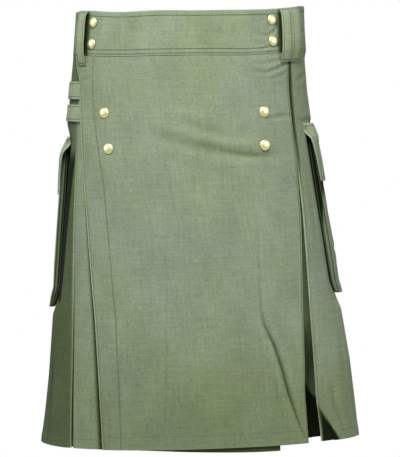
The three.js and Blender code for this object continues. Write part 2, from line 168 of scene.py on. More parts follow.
def place(turn, drop, out):
    """Point in metres at turn, drop and out: form point + normal * (out - press), by bilinear reading."""
    turn, drop, out = np.broadcast_arrays(*(np.asarray(v, float) for v in (turn, drop, out)))
    turn = wrap(turn)
    row = np.clip((drop - DROPS[0]) / DROP_STEP, 0, len(DROPS) - 1.001)
    column = np.clip(np.abs(turn) * (TURNS - 1), 0, TURNS - 1.001)
    r0, c0 = row.astype(int), column.astype(int)
    fr, fc = row - r0, column - c0
    values = []
    for k in range(4):
        both = []
        for side in ("left", "right"):
            grid = OUTLINES[side][:, k]
            top = grid[r0, c0] * (1 - fc) + grid[r0, c0 + 1] * fc
            low = grid[r0 + 1, c0] * (1 - fc) + grid[r0 + 1, c0 + 1] * fc
            both.append(top * (1 - fr) + low * fr)
        values.append(np.where(turn < 0, both[0], both[1]))
    x, y, nx, ny = values
    away = (out - press(turn, drop)) / np.hypot(nx, ny)
    mirror = np.where(turn < 0, -1, 1)
    return np.stack([mirror * (x + nx * away), y + ny * away, height(turn, drop)], -1) / 1000


apron_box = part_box("front_apron")
print("front of the form:", place(0, 65, 0).round(4), "apron solid:", [round(v, 4) for v in apron_box[0]])

# %% [markdown]
# ## Camera and light
#
# The garment is photographed straight on, from about two and a half metres, turned a few degrees so that
# a little more of one hip shows. A long lens keeps the sides nearly parallel. The light is plain studio
# light: one large soft source in front and above, a weak fill at each side and another behind, so that
# the back can be looked at too. The surroundings are white for the camera and faint for everything else.

# %% The camera
AZIMUTH = math.radians(4.5)
DISTANCE = 2.6
FRAME_LONG_SIDE = 457
FOCAL_PIXELS = 1787
SIDE_STEP = 0.016
CAMERA_HEIGHT = -0.271

camera_data = bpy.data.cameras.new("camera")
camera = bpy.data.objects.new("camera", camera_data)
bpy.context.scene.collection.objects.link(camera)
camera_data.sensor_width = 36
camera_data.lens = FOCAL_PIXELS * 36 / FRAME_LONG_SIDE
camera.location = (
    DISTANCE * math.sin(AZIMUTH) + SIDE_STEP * math.cos(AZIMUTH),
    -DISTANCE * math.cos(AZIMUTH) + SIDE_STEP * math.sin(AZIMUTH),
    CAMERA_HEIGHT,
)
camera.rotation_euler = (math.radians(90), 0, AZIMUTH)
bpy.context.scene.camera = camera
print("lens:", round(camera_data.lens, 1), "mm")


# %% Lights that face a point
def soft_light(name, at, towards, size, power):
    """Adds a square area light at a point, turned to face another."""
    data = bpy.data.lights.new(name, "AREA")
    data.shape = "SQUARE"
    data.size = size
    data.energy = power
    light = bpy.data.objects.new(name, data)
    bpy.context.scene.collection.objects.link(light)
    light.location = at
    aim = np.array(towards, float) - np.array(at, float)
    flat = math.hypot(aim[0], aim[1])
    light.rotation_euler = (math.atan2(flat, -aim[2]), 0, math.atan2(aim[1], aim[0]) - math.pi / 2)


soft_light("key", (-0.12, -1.5, 1.15), (0, 0, -0.12), 0.75, 38)
soft_light("right_fill", (1.6, -0.9, 0.3), (0, 0, -0.1), 1.0, 9.5)
soft_light("left_fill", (-1.7, -0.5, 0.3), (0, 0, -0.2), 1.0, 8)
soft_light("back_fill", (0.9, 2.0, 1.2), (0, 0, -0.3), 1.2, 30)

# %% Surroundings: white to the camera, dimmer in reflections and faint as a light
FAINT_SKY = 0.12
SKY_IN_REFLECTIONS = 0.45
world = bpy.data.worlds.new("studio")
world.use_nodes = True
weak_sky = world.node_tree.nodes["Background"]
weak_sky.inputs["Color"].default_value = (1, 1, 1, 1)
weak_sky.inputs["Strength"].default_value = FAINT_SKY
white_sky = world.node_tree.nodes.new("ShaderNodeBackground")
white_sky.inputs["Color"].default_value = (1, 1, 1, 1)
white_sky.inputs["Strength"].default_value = 1.0
ray_kind = world.node_tree.nodes.new("ShaderNodeLightPath")
sky_choice = world.node_tree.nodes.new("ShaderNodeMixShader")
bright_ray = world.node_tree.nodes.new("ShaderNodeMath")
bright_ray.operation = "MULTIPLY_ADD"
bright_ray.inputs[1].default_value = SKY_IN_REFLECTIONS
world.node_tree.links.new(ray_kind.outputs["Is Glossy Ray"], bright_ray.inputs[0])
world.node_tree.links.new(ray_kind.outputs["Is Camera Ray"], bright_ray.inputs[2])
world.node_tree.links.new(bright_ray.outputs[0], sky_choice.inputs[0])
world.node_tree.links.new(weak_sky.outputs[0], sky_choice.inputs[1])
world.node_tree.links.new(white_sky.outputs[0], sky_choice.inputs[2])
world.node_tree.links.new(sky_choice.outputs[0], world.node_tree.nodes["World Output"].inputs["Surface"])
bpy.context.scene.world = world
bpy.context.scene.view_settings.view_transform = "Standard"
print("share of white sky in a reflection:", SKY_IN_REFLECTIONS)


# %% [markdown]
# ## Mesh helpers
#
# A grid of points becomes a mesh in one go, with no loop over vertices. A cloth wall is two such grids,
# half a thickness to either side of the middle surface, sewn together round the border. Near the border
# the thickness shrinks, so the cut edge is rounded and catches the light as a pressed seam does.

# %% A mesh from arrays
def build_mesh(name, points, quads, layers=None, uv=None):
    """Mesh object from vertex and quad arrays, with smooth faces, point values and one UV map."""
    mesh = bpy.data.meshes.new(name)
    mesh.vertices.add(len(points))
    mesh.vertices.foreach_set("co", np.asarray(points, np.float32).ravel())
    mesh.loops.add(quads.size)
    mesh.loops.foreach_set("vertex_index", quads.astype(np.int32).ravel())
    mesh.polygons.add(len(quads))
    mesh.polygons.foreach_set("loop_start", np.arange(0, quads.size, quads.shape[1], dtype=np.int32))
    mesh.polygons.foreach_set("use_smooth", np.ones(len(quads), bool))
    mesh.update(calc_edges=True)
    for key, values in (layers or {}).items():
        layer = mesh.attributes.new(key, "FLOAT", "POINT")
        layer.data.foreach_set("value", np.asarray(values, np.float32).ravel())
    if uv is not None:
        uv_layer = mesh.uv_layers.new(name="cloth")
        uv_layer.data.foreach_set("uv", np.asarray(uv, np.float32)[quads.ravel()].ravel())
    piece = bpy.data.objects.new(name, mesh)
    bpy.context.scene.collection.objects.link(piece)
    return piece


def grid_quads(rows, columns, start=0, around=False):
    """Quads of a grid whose rows run down and columns to the right, facing outwards."""
    index = np.arange(rows * columns).reshape(rows, columns) + start
    if around:
        index = np.concatenate([index, index[:, :1]], 1)
    a, b = index[:-1, :-1], index[1:, :-1]
    c, d = index[1:, 1:], index[:-1, 1:]
    return np.stack([a, b, c, d], -1).reshape(-1, 4)


print("one quad of a small grid:", grid_quads(2, 2)[0])

# %% A cloth wall with rounded edges
SEAMS = ("seam_1", "seam_2", "seam_3", "seam_4")
FAR = 500.0
EDGE_TAPER = (0.45, 0.85)
# Painted shade that the inside of every cloth wall gets at least.
INSIDE_PAINTED_SHADE = 0.3


def surface_normals(points):
    """Unit normal of a grid: the cross product of its steps down and to the right."""
    down = np.gradient(points, axis=0)
    right = np.gradient(points, axis=1)
    normal = np.cross(down, right)
    return normal / np.maximum(np.linalg.norm(normal, axis=-1, keepdims=True), 1e-12)


def cloth_wall(name, points, thickness, seams=(), wear_and_painted_light=None, uv=None, painted_shade=0.0, painted_shade_inside=None):
    """Closed cloth wall round a grid of middle points, as wide as thickness (mm, a number or a grid).

    outer = middle + normal * t / 2, inner = middle - normal * t / 2, and quads join the two round the
    border. seams are grids of signed distances in mm to lines of stitching. fresh is painted shade: how
    much the colour is darkened to stand in for shadow in folds, gaps and under other pieces. The inside
    gets at least INSIDE_PAINTED_SHADE of painted shade unless painted_shade_inside says how much.
    """
    rows, columns = points.shape[:2]
    half = np.broadcast_to(np.asarray(thickness, float) / 2000, (rows, columns)).copy()
    for k, share in enumerate(EDGE_TAPER):
        half[k], half[-1 - k] = half[k] * share, half[-1 - k] * share
        half[:, k], half[:, -1 - k] = half[:, k] * share, half[:, -1 - k] * share
    normal = surface_normals(points)
    outer = points + normal * half[..., None]
    inner = points - normal * half[..., None]
    count = rows * columns
    index = np.arange(count).reshape(rows, columns)
    faces = [grid_quads(rows, columns), grid_quads(rows, columns, count)[:, ::-1]]
    border = np.concatenate([index[0, :-1], index[:-1, -1], index[-1, :0:-1], index[:0:-1, 0]])
    after = np.roll(border, -1)
    faces.append(np.stack([border, after, after + count, border + count], -1))
    layers = {key: np.full(2 * count, FAR) for key in SEAMS}
    for key, gap in zip(SEAMS, seams):
        layers[key] = np.tile(np.broadcast_to(gap, (rows, columns)).ravel(), 2)
    worn_and_painted_light = np.zeros((rows, columns)) if wear_and_painted_light is None else np.broadcast_to(wear_and_painted_light, (rows, columns))
    layers["wear_and_painted_light"] = np.tile(worn_and_painted_light.ravel(), 2)
    inner_painted_shade = np.maximum(painted_shade, INSIDE_PAINTED_SHADE) if painted_shade_inside is None else painted_shade_inside
    sides = [np.broadcast_to(side, (rows, columns)).ravel() for side in (painted_shade, inner_painted_shade)]
    layers["painted_shade"] = np.clip(np.concatenate(sides), 0, 1)
    flat = None if uv is None else np.tile(uv.reshape(-1, 2), (2, 1))
    vertices = np.concatenate([outer.reshape(-1, 3), inner.reshape(-1, 3)])
    return build_mesh(name, vertices, np.concatenate(faces), layers, flat)


print("distances stored for the stitch lines:", SEAMS)


# %% Spacing that crowds near both ends
def crowded(count, length, edge=0.5):
    """count shares from 0 to 1 over a length in mm, with one extra pair of lines close to each end."""
    near = edge / length
    inside = np.linspace(0, 1, count - 4)
    shares = np.concatenate([inside[:1], [near * 0.35, near], inside[1:-1], [1 - near, 1 - near * 0.35],
                             inside[-1:]])
    return np.sort(shares)


print("first shares of a crowded row:", crowded(12, 300).round(4)[:4])

# %% [markdown]
# ## Cotton drill
#
# Drill is a steep twill of thick yarns. From a metre away it reads as a fine grain with a faint streak
# along each yarn and soft, cloudy changes of shade from washing. The grain could be a picture, but a few
# noises stretched along the warp and the weft do the same at any scale. One node group makes the weave
# and another turns distances to a stitch line into a dimple. The drill places each of them once, and a
# second cloth could take them with values of its own.

# %% Helpers for node groups
def new_group(name, inputs, outputs):
    """Empty shader node group with named sockets; each input is (name, kind, default)."""
    group = bpy.data.node_groups.new(name, "ShaderNodeTree")
    for label, kind, default in inputs:
        socket = group.interface.new_socket(name=label, in_out="INPUT", socket_type=kind)
        if default is not None:
            socket.default_value = default
    for label, kind in outputs:
        group.interface.new_socket(name=label, in_out="OUTPUT", socket_type=kind)
    return group, group.nodes.new("NodeGroupInput"), group.nodes.new("NodeGroupOutput")


def add_math(tree, operation, first, second=None, third=None):
    """Math node fed by sockets or numbers; returns its output."""
    node = tree.nodes.new("ShaderNodeMath")
    node.operation = operation
    for slot, value in enumerate((first, second, third)):
        if value is None:
            continue
        if isinstance(value, (int, float)):
            node.inputs[slot].default_value = value
        else:
            tree.links.new(value, node.inputs[slot])
    return node.outputs[0]


def add_noise(tree, vector, scale, stretch=(1, 1, 1), detail=2.0, rough=0.5):
    """Noise texture on a stretched copy of the vector; returns its value output."""
    mapping = tree.nodes.new("ShaderNodeMapping")
    mapping.inputs["Scale"].default_value = stretch
    tree.links.new(vector, mapping.inputs["Vector"])
    noise = tree.nodes.new("ShaderNodeTexNoise")
    noise.inputs["Scale"].default_value = scale
    noise.inputs["Detail"].default_value = detail
    noise.inputs["Roughness"].default_value = rough
    tree.links.new(mapping.outputs[0], noise.inputs["Vector"])
    return noise.outputs["Fac"]


print("socket kinds used: NodeSocketFloat, NodeSocketColor, NodeSocketVector")

# %% Weave group
RIB_PITCH = 0.0011
RIB_SHARE = 0.16
weave, weave_in, weave_out = new_group(
    "twill_weave",
    [("Cloth Map", "NodeSocketVector", None), ("Colour", "NodeSocketColor", (0.3, 0.35, 0.25, 1)),
     ("Shade Change", "NodeSocketFloat", 1.0)],
    [("Colour", "NodeSocketColor"), ("Height", "NodeSocketFloat"), ("Roughness", "NodeSocketFloat")],
)
weave_map = weave_in.outputs["Cloth Map"]
warp = add_noise(weave, weave_map, 1.0, (1000, 110, 1), 3)
weft = add_noise(weave, weave_map, 1.0, (110, 800, 1), 3)
grain = add_noise(weave, weave_map, 420.0, (1, 1, 1), 3, 0.6)
cloud = add_noise(weave, weave_map, 22.0, (1, 0.6, 1), 4, 0.55)
split = weave.nodes.new("ShaderNodeSeparateXYZ")
weave.links.new(weave_map, split.inputs[0])
diagonal = add_math(weave, "ADD", split.outputs["X"], add_math(weave, "MULTIPLY", split.outputs["Y"], 0.7))
rib = add_math(weave, "SINE", add_math(weave, "MULTIPLY", diagonal, 2 * math.pi / RIB_PITCH))
yarns = add_math(weave, "ADD", warp, weft)
ribs = add_math(weave, "MULTIPLY", rib, RIB_SHARE)
relief = add_math(weave, "ADD", add_math(weave, "MULTIPLY", yarns, 0.5), ribs)
weave.links.new(relief, weave_out.inputs["Height"])
print("twill ribs are", RIB_PITCH * 1000, "mm apart")

# %% Colour of the weave: yarn streaks, grain and clouds around the cloth colour
STREAK_GAIN = 0.46
SPECKLE_GAIN = 0.45
CLOUD_GAIN = 0.42
SLUB_GAIN = 0.34
streak = add_math(weave, "MULTIPLY", add_math(weave, "SUBTRACT", yarns, 1.0), STREAK_GAIN)
speckle = add_math(weave, "MULTIPLY", add_math(weave, "SUBTRACT", grain, 0.5), SPECKLE_GAIN)
thick_warp = add_noise(weave, weave_map, 1.0, (330, 22, 1), 2)
thick_weft = add_noise(weave, weave_map, 1.0, (22, 330, 1), 2)
slubs = add_math(weave, "SUBTRACT", add_math(weave, "ADD", thick_warp, thick_weft), 1.0)
clouds = add_math(weave, "MULTIPLY", add_math(weave, "SUBTRACT", cloud, 0.5), CLOUD_GAIN)
change = add_math(weave, "ADD", add_math(weave, "ADD", streak, speckle), clouds)
change = add_math(weave, "ADD", change, add_math(weave, "MULTIPLY", slubs, SLUB_GAIN))
gain = add_math(weave, "ADD", add_math(weave, "MULTIPLY", change, weave_in.outputs["Shade Change"]), 1.0)
print("shade changes by about", STREAK_GAIN / 2, "either way along a yarn")

# %% Yellowed patches, and what the weave group puts out
patches = add_noise(weave, weave_map, 7.0, (1, 0.7, 1), 3, 0.6)
patch_share = weave.nodes.new("ShaderNodeMapRange")
patch_share.inputs["From Min"].default_value = 0.38
patch_share.inputs["From Max"].default_value = 0.66
weave.links.new(patches, patch_share.inputs["Value"])
yellowed = weave.nodes.new("ShaderNodeMix")
yellowed.data_type = "RGBA"
yellowed.blend_type = "MULTIPLY"
yellowed.inputs["B"].default_value = (1.0, 1.0, 0.84, 1)
weave.links.new(patch_share.outputs["Result"], yellowed.inputs["Factor"])
weave.links.new(weave_in.outputs["Colour"], yellowed.inputs["A"])
tint = weave.nodes.new("ShaderNodeVectorMath")
tint.operation = "SCALE"
weave.links.new(yellowed.outputs["Result"], tint.inputs[0])
weave.links.new(gain, tint.inputs["Scale"])
weave.links.new(tint.outputs[0], weave_out.inputs["Colour"])
weave.links.new(add_math(weave, "ADD", add_math(weave, "MULTIPLY", grain, 0.12), 0.8),
                weave_out.inputs["Roughness"])
print("nodes in the weave group:", len(weave.nodes))

# %% Stitched seam group: distances in mm become one dimple mask
seam_group, seam_in, seam_out = new_group(
    "stitched_seam",
    [(f"Distance {k}", "NodeSocketFloat", FAR) for k in (1, 2, 3, 4)] + [("Width", "NodeSocketFloat", 1.0)],
    [("Mask", "NodeSocketFloat")],
)
dimple = None
for k in (1, 2, 3, 4):
    gap = add_math(seam_group, "ABSOLUTE", seam_in.outputs[f"Distance {k}"])
    widths = add_math(seam_group, "DIVIDE", gap, seam_in.outputs["Width"])
    share = add_math(seam_group, "MINIMUM", widths, 1.0)
    near = add_math(seam_group, "SUBTRACT", 1.0, add_math(seam_group, "MULTIPLY", share, share))
    dimple = near if dimple is None else add_math(seam_group, "MAXIMUM", dimple, near)
seam_group.links.new(dimple, seam_out.inputs["Mask"])
print("seam mask is 1 on the stitches and 0 from", 1.0, "mm away")


# %% The cotton material
def link_group(tree, group):
    """Places a node group in a material."""
    node = tree.nodes.new("ShaderNodeGroup")
    node.node_tree = group
    return node


def read_layer(tree, name):
    """Value stored on the points of the piece."""
    node = tree.nodes.new("ShaderNodeAttribute")
    node.attribute_name = name
    return node.outputs["Fac"]


WEAR_AND_LIGHT_GAIN = 0.3
SEAM_SHADE = 0.17
# Steps of painted shade: the colour is darkened to stand in for shadow in folds, gaps and under other
# pieces, down to near black.
PAINTED_SHADE_STEPS = ((0.25, (0.76, 0.79, 0.66, 1)), (0.7, (0.33, 0.37, 0.25, 1)))
DEEPEST_PAINTED_SHADE = (0.03, 0.035, 0.02, 1)


def cotton(name, colour, weave_depth=0.00022, seam_depth=0.0009, shade=1.0):
    """Drill: weave colour, darker in the seams, paler where it is rubbed and where painted light is laid
    on, darkened by painted shade, with a soft sheen.
    """
    material = bpy.data.materials.new(name)
    material.use_nodes = True
    tree = material.node_tree
    surface = tree.nodes["Principled BSDF"]
    cloth_uv = tree.nodes.new("ShaderNodeUVMap")
    cloth_uv.uv_map = "cloth"
    fabric = link_group(tree, weave)
    fabric.inputs["Colour"].default_value = (*colour, 1)
    fabric.inputs["Shade Change"].default_value = shade
    tree.links.new(cloth_uv.outputs["UV"], fabric.inputs["Cloth Map"])
    seam = link_group(tree, seam_group)
    for k, key in enumerate(SEAMS, 1):
        tree.links.new(read_layer(tree, key), seam.inputs[f"Distance {k}"])
    worn_and_painted_light = add_math(tree, "MULTIPLY", read_layer(tree, "wear_and_painted_light"), WEAR_AND_LIGHT_GAIN)
    level = add_math(tree, "SUBTRACT", add_math(tree, "ADD", worn_and_painted_light, 1.0),
                     add_math(tree, "MULTIPLY", seam.outputs["Mask"], SEAM_SHADE))
    scale = tree.nodes.new("ShaderNodeVectorMath")
    scale.operation = "SCALE"
    tree.links.new(fabric.outputs["Colour"], scale.inputs[0])
    tree.links.new(level, scale.inputs["Scale"])
    # A ramp turns the shade layer of the points into painted shade on the base colour.
    depth = tree.nodes.new("ShaderNodeValToRGB")
    ramp = depth.color_ramp
    ramp.elements[0].color = (1, 1, 1, 1)
    ramp.elements[1].color = DEEPEST_PAINTED_SHADE
    for share, painted_shade_colour in PAINTED_SHADE_STEPS:
        ramp.elements.new(share).color = painted_shade_colour
    tree.links.new(read_layer(tree, "painted_shade"), depth.inputs["Fac"])
    shaded_colour = tree.nodes.new("ShaderNodeVectorMath")
    shaded_colour.operation = "MULTIPLY"
    tree.links.new(scale.outputs[0], shaded_colour.inputs[0])
    tree.links.new(depth.outputs["Color"], shaded_colour.inputs[1])
    tree.links.new(shaded_colour.outputs[0], surface.inputs["Base Color"])
    tree.links.new(fabric.outputs["Roughness"], surface.inputs["Roughness"])
    ridge = add_math(tree, "SUBTRACT", add_math(tree, "MULTIPLY", fabric.outputs["Height"], weave_depth),
                     add_math(tree, "MULTIPLY", seam.outputs["Mask"], seam_depth))
    bump = tree.nodes.new("ShaderNodeBump")
    bump.inputs["Strength"].default_value = 0.9
    bump.inputs["Distance"].default_value = 1.0
    tree.links.new(ridge, bump.inputs["Height"])
    tree.links.new(bump.outputs["Normal"], surface.inputs["Normal"])
    surface.inputs["Sheen Weight"].default_value = 0.04
    surface.inputs["Sheen Roughness"].default_value = 0.6
    surface.inputs["Specular IOR Level"].default_value = 0.0
    return material


SAGE = (0.262, 0.316, 0.226)
sage_drill = cotton("sage_drill", SAGE)
print("material:", sage_drill.name, "colour", SAGE)

# %% [markdown]
# Thread is glossier than the cloth and keeps more of its dye, so a row of stitches reads as a dotted line.
# The caps are thin pressed brass with a clear polish: a metal whose roughness varies a little, because
# the real ones are handled every day.

# %% Thread
thread = bpy.data.materials.new("sage_thread")
thread.use_nodes = True
thread_surface = thread.node_tree.nodes["Principled BSDF"]
thread_coordinates = thread.node_tree.nodes.new("ShaderNodeTexCoord")
thread_noise = add_noise(thread.node_tree, thread_coordinates.outputs["Object"], 900.0)
thread_mix = thread.node_tree.nodes.new("ShaderNodeMix")
thread_mix.data_type = "RGBA"
thread_mix.inputs["A"].default_value = (0.12, 0.15, 0.09, 1)
thread_mix.inputs["B"].default_value = (0.26, 0.31, 0.2, 1)
thread.node_tree.links.new(thread_noise, thread_mix.inputs["Factor"])
thread.node_tree.links.new(thread_mix.outputs["Result"], thread_surface.inputs["Base Color"])
thread_surface.inputs["Roughness"].default_value = 0.55
print("material:", thread.name)

# %% Brass
SMOOTHEST = 0.30
SCUFF_GAIN = 0.12
brass = bpy.data.materials.new("pale_brass")
brass.use_nodes = True
brass_tree = brass.node_tree
brass_surface = brass_tree.nodes["Principled BSDF"]
brass_coordinates = brass_tree.nodes.new("ShaderNodeTexCoord")
scuffs = add_noise(brass_tree, brass_coordinates.outputs["Object"], 700.0, (1, 1, 3), 4, 0.6)
brass_mix = brass_tree.nodes.new("ShaderNodeMix")
brass_mix.data_type = "RGBA"
brass_mix.inputs["A"].default_value = (0.86, 0.82, 0.40, 1)
brass_mix.inputs["B"].default_value = (0.97, 0.95, 0.55, 1)
brass_tree.links.new(scuffs, brass_mix.inputs["Factor"])
brass_tree.links.new(brass_mix.outputs["Result"], brass_surface.inputs["Base Color"])
handled = add_math(brass_tree, "MULTIPLY", scuffs, SCUFF_GAIN)
brass_tree.links.new(add_math(brass_tree, "ADD", handled, SMOOTHEST), brass_surface.inputs["Roughness"])
brass_surface.inputs["Metallic"].default_value = 1.0
print("brass roughness runs from", SMOOTHEST, "to", round(SMOOTHEST + SCUFF_GAIN, 2))

# %% [markdown]
# ## Stitches
#
# A line of lockstitch shows on the surface as short straight threads with a needle hole between them.
# Each one here is a small closed spindle. They are all copies of one shape, laid end to end along a line
# that is read off the cloth, so a whole seam is one array product. A bar tack is the same thread laid
# crosswise and close together.

# %% Lines read off a cloth grid
def seam_line(points, field, way, first=0, last=None, low=0, high=None):
    """Where a distance field changes sign: one point and normal for each row (down) or column (across).

    Between the two grid points on either side of zero the place is found by a straight share.
    """
    normal = surface_normals(points)
    field = np.broadcast_to(field, points.shape[:2])
    if way == "across":
        points, normal, field = points.swapaxes(0, 1), normal.swapaxes(0, 1), field.T
    points, normal = points[first:last, low:high], normal[first:last, low:high]
    field = field[first:last, low:high]
    crossing = (field[:, :-1] <= 0) != (field[:, 1:] <= 0)
    k = np.argmax(crossing, 1)
    row = np.arange(len(k))
    share = (field[row, k] / (field[row, k] - field[row, k + 1]))[:, None]
    spot = points[row, k] * (1 - share) + points[row, k + 1] * share
    up = normal[row, k] * (1 - share) + normal[row, k + 1] * share
    good = crossing.any(1)
    return spot[good], up[good]


def spindle(length, radius):
    """Closed five-sided spindle along x: rings of radius r at shares of its length, tips at its ends."""
    around = np.linspace(0, 2 * np.pi, 5, endpoint=False)
    along = np.array([-0.5, -0.3, 0.3, 0.5]) * length
    size = np.array([0.35, 1, 1, 0.35]) * radius
    ring = np.stack([np.zeros(5), np.cos(around), np.sin(around)], -1)
    points = ring[None] * size[:, None, None] + np.stack([along, along * 0, along * 0], -1)[:, None]
    return points.reshape(-1, 3)


print("points in one stitch:", len(spindle(2.5, 0.3)))


# %% Rows of stitches as one mesh
stitch_parts = {}


def sew(group, line, pitch=3.3, length=2.6, radius=0.32, lift=0.55, across=False):
    """Adds stitches along a line: centre + t x + s y + n z for every spindle point (x, y, z)."""
    spot, up = line
    if len(spot) < 2:
        return
    step = np.linalg.norm(np.diff(spot, axis=0), axis=1) * 1000
    travel = np.concatenate([[0], np.cumsum(step)])
    at = np.arange(pitch / 2, travel[-1], pitch)
    centre = np.stack([np.interp(at, travel, spot[:, k]) for k in range(3)], -1)
    normal = np.stack([np.interp(at, travel, up[:, k]) for k in range(3)], -1)
    tangent = np.stack([np.interp(at, travel, np.gradient(spot[:, k], travel)) for k in range(3)], -1)
    normal /= np.linalg.norm(normal, axis=1, keepdims=True)
    side = np.cross(normal, tangent)
    side /= np.linalg.norm(side, axis=1, keepdims=True)
    tangent = np.cross(side, normal)
    if across:
        tangent, side = side, -tangent
    template = spindle(length / 1000, radius / 1000)
    frame_of = np.stack([tangent, side, normal], 1)
    points = centre[:, None] + normal[:, None] * lift / 1000 + np.einsum("vk,nkc->nvc", template, frame_of)
    stitch_parts.setdefault(group, []).append(points)


def bar_tack(group, centre, along, up, size=8.0, width=3.2, lift=0.6):
    """Short dense row of crosswise stitches centred on a point."""
    reach = np.linspace(-0.5, 0.5, 5)[:, None] * size / 1000
    along = np.asarray(along, float) / np.linalg.norm(along)
    sew(group, (centre + reach * along, np.tile(up, (5, 1))), 0.75, width, 0.34, lift, across=True)


def finish_stitches(group, body="root"):
    """One mesh for all the stitches of a group; both tips of each spindle are closed by a face."""
    points = np.concatenate(stitch_parts[group])
    count, size = points.shape[:2]
    quads = grid_quads(4, 5, around=True)
    tips = np.array([[1, 2, 3, 4], [19, 18, 17, 16]])
    caps = np.array([[0, 1, 4], [15, 19, 16]])
    start = (np.arange(count) * size)[:, None, None]
    faces = (np.concatenate([quads, tips])[None] + start).reshape(-1, 4)
    small = (caps[None] + start).reshape(-1, 3)
    piece = build_mesh(group, points.reshape(-1, 3), faces)
    close_tips(piece, small)
    piece.data.materials.append(thread)
    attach(piece, body)
    return piece


def close_tips(piece, triangles):
    """Adds triangles to a mesh of quads, such as the last one of each tip."""
    mesh = piece.data
    loops, faces = len(mesh.loops), len(mesh.polygons)
    corners = np.empty(loops, np.int32)
    mesh.loops.foreach_get("vertex_index", corners)
    mesh.loops.add(triangles.size)
    mesh.loops.foreach_set("vertex_index", np.concatenate([corners, triangles.ravel()]).astype(np.int32))
    mesh.polygons.add(len(triangles))
    starts = np.concatenate([np.arange(faces) * 4, loops + np.arange(len(triangles)) * 3])
    mesh.polygons.foreach_set("loop_start", starts.astype(np.int32))
    mesh.polygons.foreach_set("use_smooth", np.ones(len(starts), bool))
    mesh.update(calc_edges=True)


print("stitch groups are filled as the pieces are made")

# %% [markdown]
# ## Cloth that turns back on itself
#
# Seen from above, a pleated panel is one line that runs along the body, turns back through a half circle,
# runs back underneath and turns again. For every drop at once, that line is kept as two arrays, turn and
# out, with a row for each drop. A straight run adds columns with evenly growing values. A fold adds
# columns on a half circle: turn + way * r sin(s), out + (to - from) (1 - cos(s)) / 2.

# %% Runs and folds for all drops together
FOLD_RADIUS = 1.2
HEM_FOLD_RADIUS = 3.0
STITCHED_TO = 215


def fold_radius(drop):
    """Pleats are pressed flat down to the end of their stitching and open towards the hem."""
    return FOLD_RADIUS + (HEM_FOLD_RADIUS - FOLD_RADIUS) * ease(STITCHED_TO, HEM_DROP, drop)


def pleat_depth(drop, top=21.0, hem=30.0):
    """How far a pleat runs back under its panel, in mm."""
    return top + (hem - top) * ease(STITCHED_TO, HEM_DROP, drop)


def share_of(length, drop, turn):
    """A length in mm along the outline as a step in turn."""
    return length / half_girth(drop, turn)


def begin(drop, turn, out):
    """First column of a path: arrays of turn and out, and a list of the columns where folds lie."""
    shape = np.ones_like(drop)
    return {"drop": drop, "turn": (turn * shape)[:, None], "out": (out * shape)[:, None], "folds": []}


def run(path, turn, out, shares):
    """Straight run to a turn and a level; shares is a count or the share of the way of each column."""
    shares = np.linspace(0, 1, shares + 1)[1:] if isinstance(shares, int) else shares
    for key, goal in (("turn", turn), ("out", out)):
        start = path[key][:, -1:]
        goal = np.broadcast_to(goal, len(start))[:, None]
        path[key] = np.concatenate([path[key], start + (goal - start) * shares], 1)


def fold(path, way, out, count=10):
    """Half-round fold to another level; the column at its crest is remembered."""
    turn, level = path["turn"][:, -1:], path["out"][:, -1:]
    out = np.broadcast_to(out, len(turn))[:, None]
    angle = np.linspace(0, np.pi, count + 1)[1:]
    bulge = way * np.abs(out - level) / 2 / half_girth(path["drop"][:, None], turn)
    path["folds"].append(path["turn"].shape[1] - 1 + count // 2)
    path["turn"] = np.concatenate([path["turn"], turn + bulge * np.sin(angle)], 1)
    path["out"] = np.concatenate([path["out"], level + (out - level) * (1 - np.cos(angle)) / 2], 1)


print("fold radius at the hem:", float(fold_radius(HEM_DROP)), "mm")


# %% Walked length, creases and soft waves
def walked(points):
    """Length in mm walked along each row of a grid of points in metres."""
    step = np.linalg.norm(np.diff(points, axis=1), axis=-1) * 1000
    return np.concatenate([np.zeros((len(points), 1)), np.cumsum(step, 1)], 1)


def cloth_map(points, drop):
    """UV map in metres: walked length to the right, drop downwards."""
    across = walked(points) / 1000
    return np.stack([across, np.broadcast_to(-np.reshape(drop, (-1, 1)) / 1000, across.shape)], -1)


def waves(across, drop, wavelength, seed):
    """Soft random waves: mean of 7 sines sin(2 pi (u cos a + v sin a) / L + f), between about -1 and 1."""
    random = np.random.default_rng(seed)
    angle = random.uniform(0, np.pi, 7)
    length = wavelength * random.uniform(0.7, 1.5, 7)
    start = random.uniform(0, 2 * np.pi, 7)
    along = across[..., None] * np.cos(angle) + drop[..., None] * np.sin(angle)
    return np.sin(2 * np.pi * along / length + start).mean(-1) * 1.9


HALF_GIRTH = 470.0


def crease(turn, drop, line, width, ridge=0.45):
    """Trough along a line whose corners are (turn, drop, depth), with a soft shoulder on both sides.

    With q the distance to the line over the width, out = depth (ridge exp(-(q - 1.9)^2) - exp(-q^2)).
    """
    corners = np.array(line, float) * (HALF_GIRTH, 1, 1)
    spot = np.stack([turn * HALF_GIRTH, np.broadcast_to(drop, turn.shape)], -1)[..., None, :]
    start, step = corners[:-1, :2], np.diff(corners[:, :2], axis=0)
    share = np.clip(((spot - start) * step).sum(-1) / (step**2).sum(-1), 0, 1)
    away = np.linalg.norm(spot - start - share[..., None] * step, axis=-1)
    depth = corners[:-1, 2] + share * np.diff(corners[:, 2])
    nearest = np.argmin(away, -1)[..., None]
    q = np.take_along_axis(away, nearest, -1)[..., 0] / width
    depth = np.take_along_axis(depth, nearest, -1)[..., 0]
    return depth * (ridge * np.exp(-((q - 1.9) ** 2)) - np.exp(-(q**2)))


def crease_marks(crumple):
    """What creases do to the colour: troughs of crumple (mm) get painted shade, ridges are rubbed pale."""
    return 0.11 * np.clip(-crumple, 0, 4), 0.3 * np.clip(crumple, 0, 2)


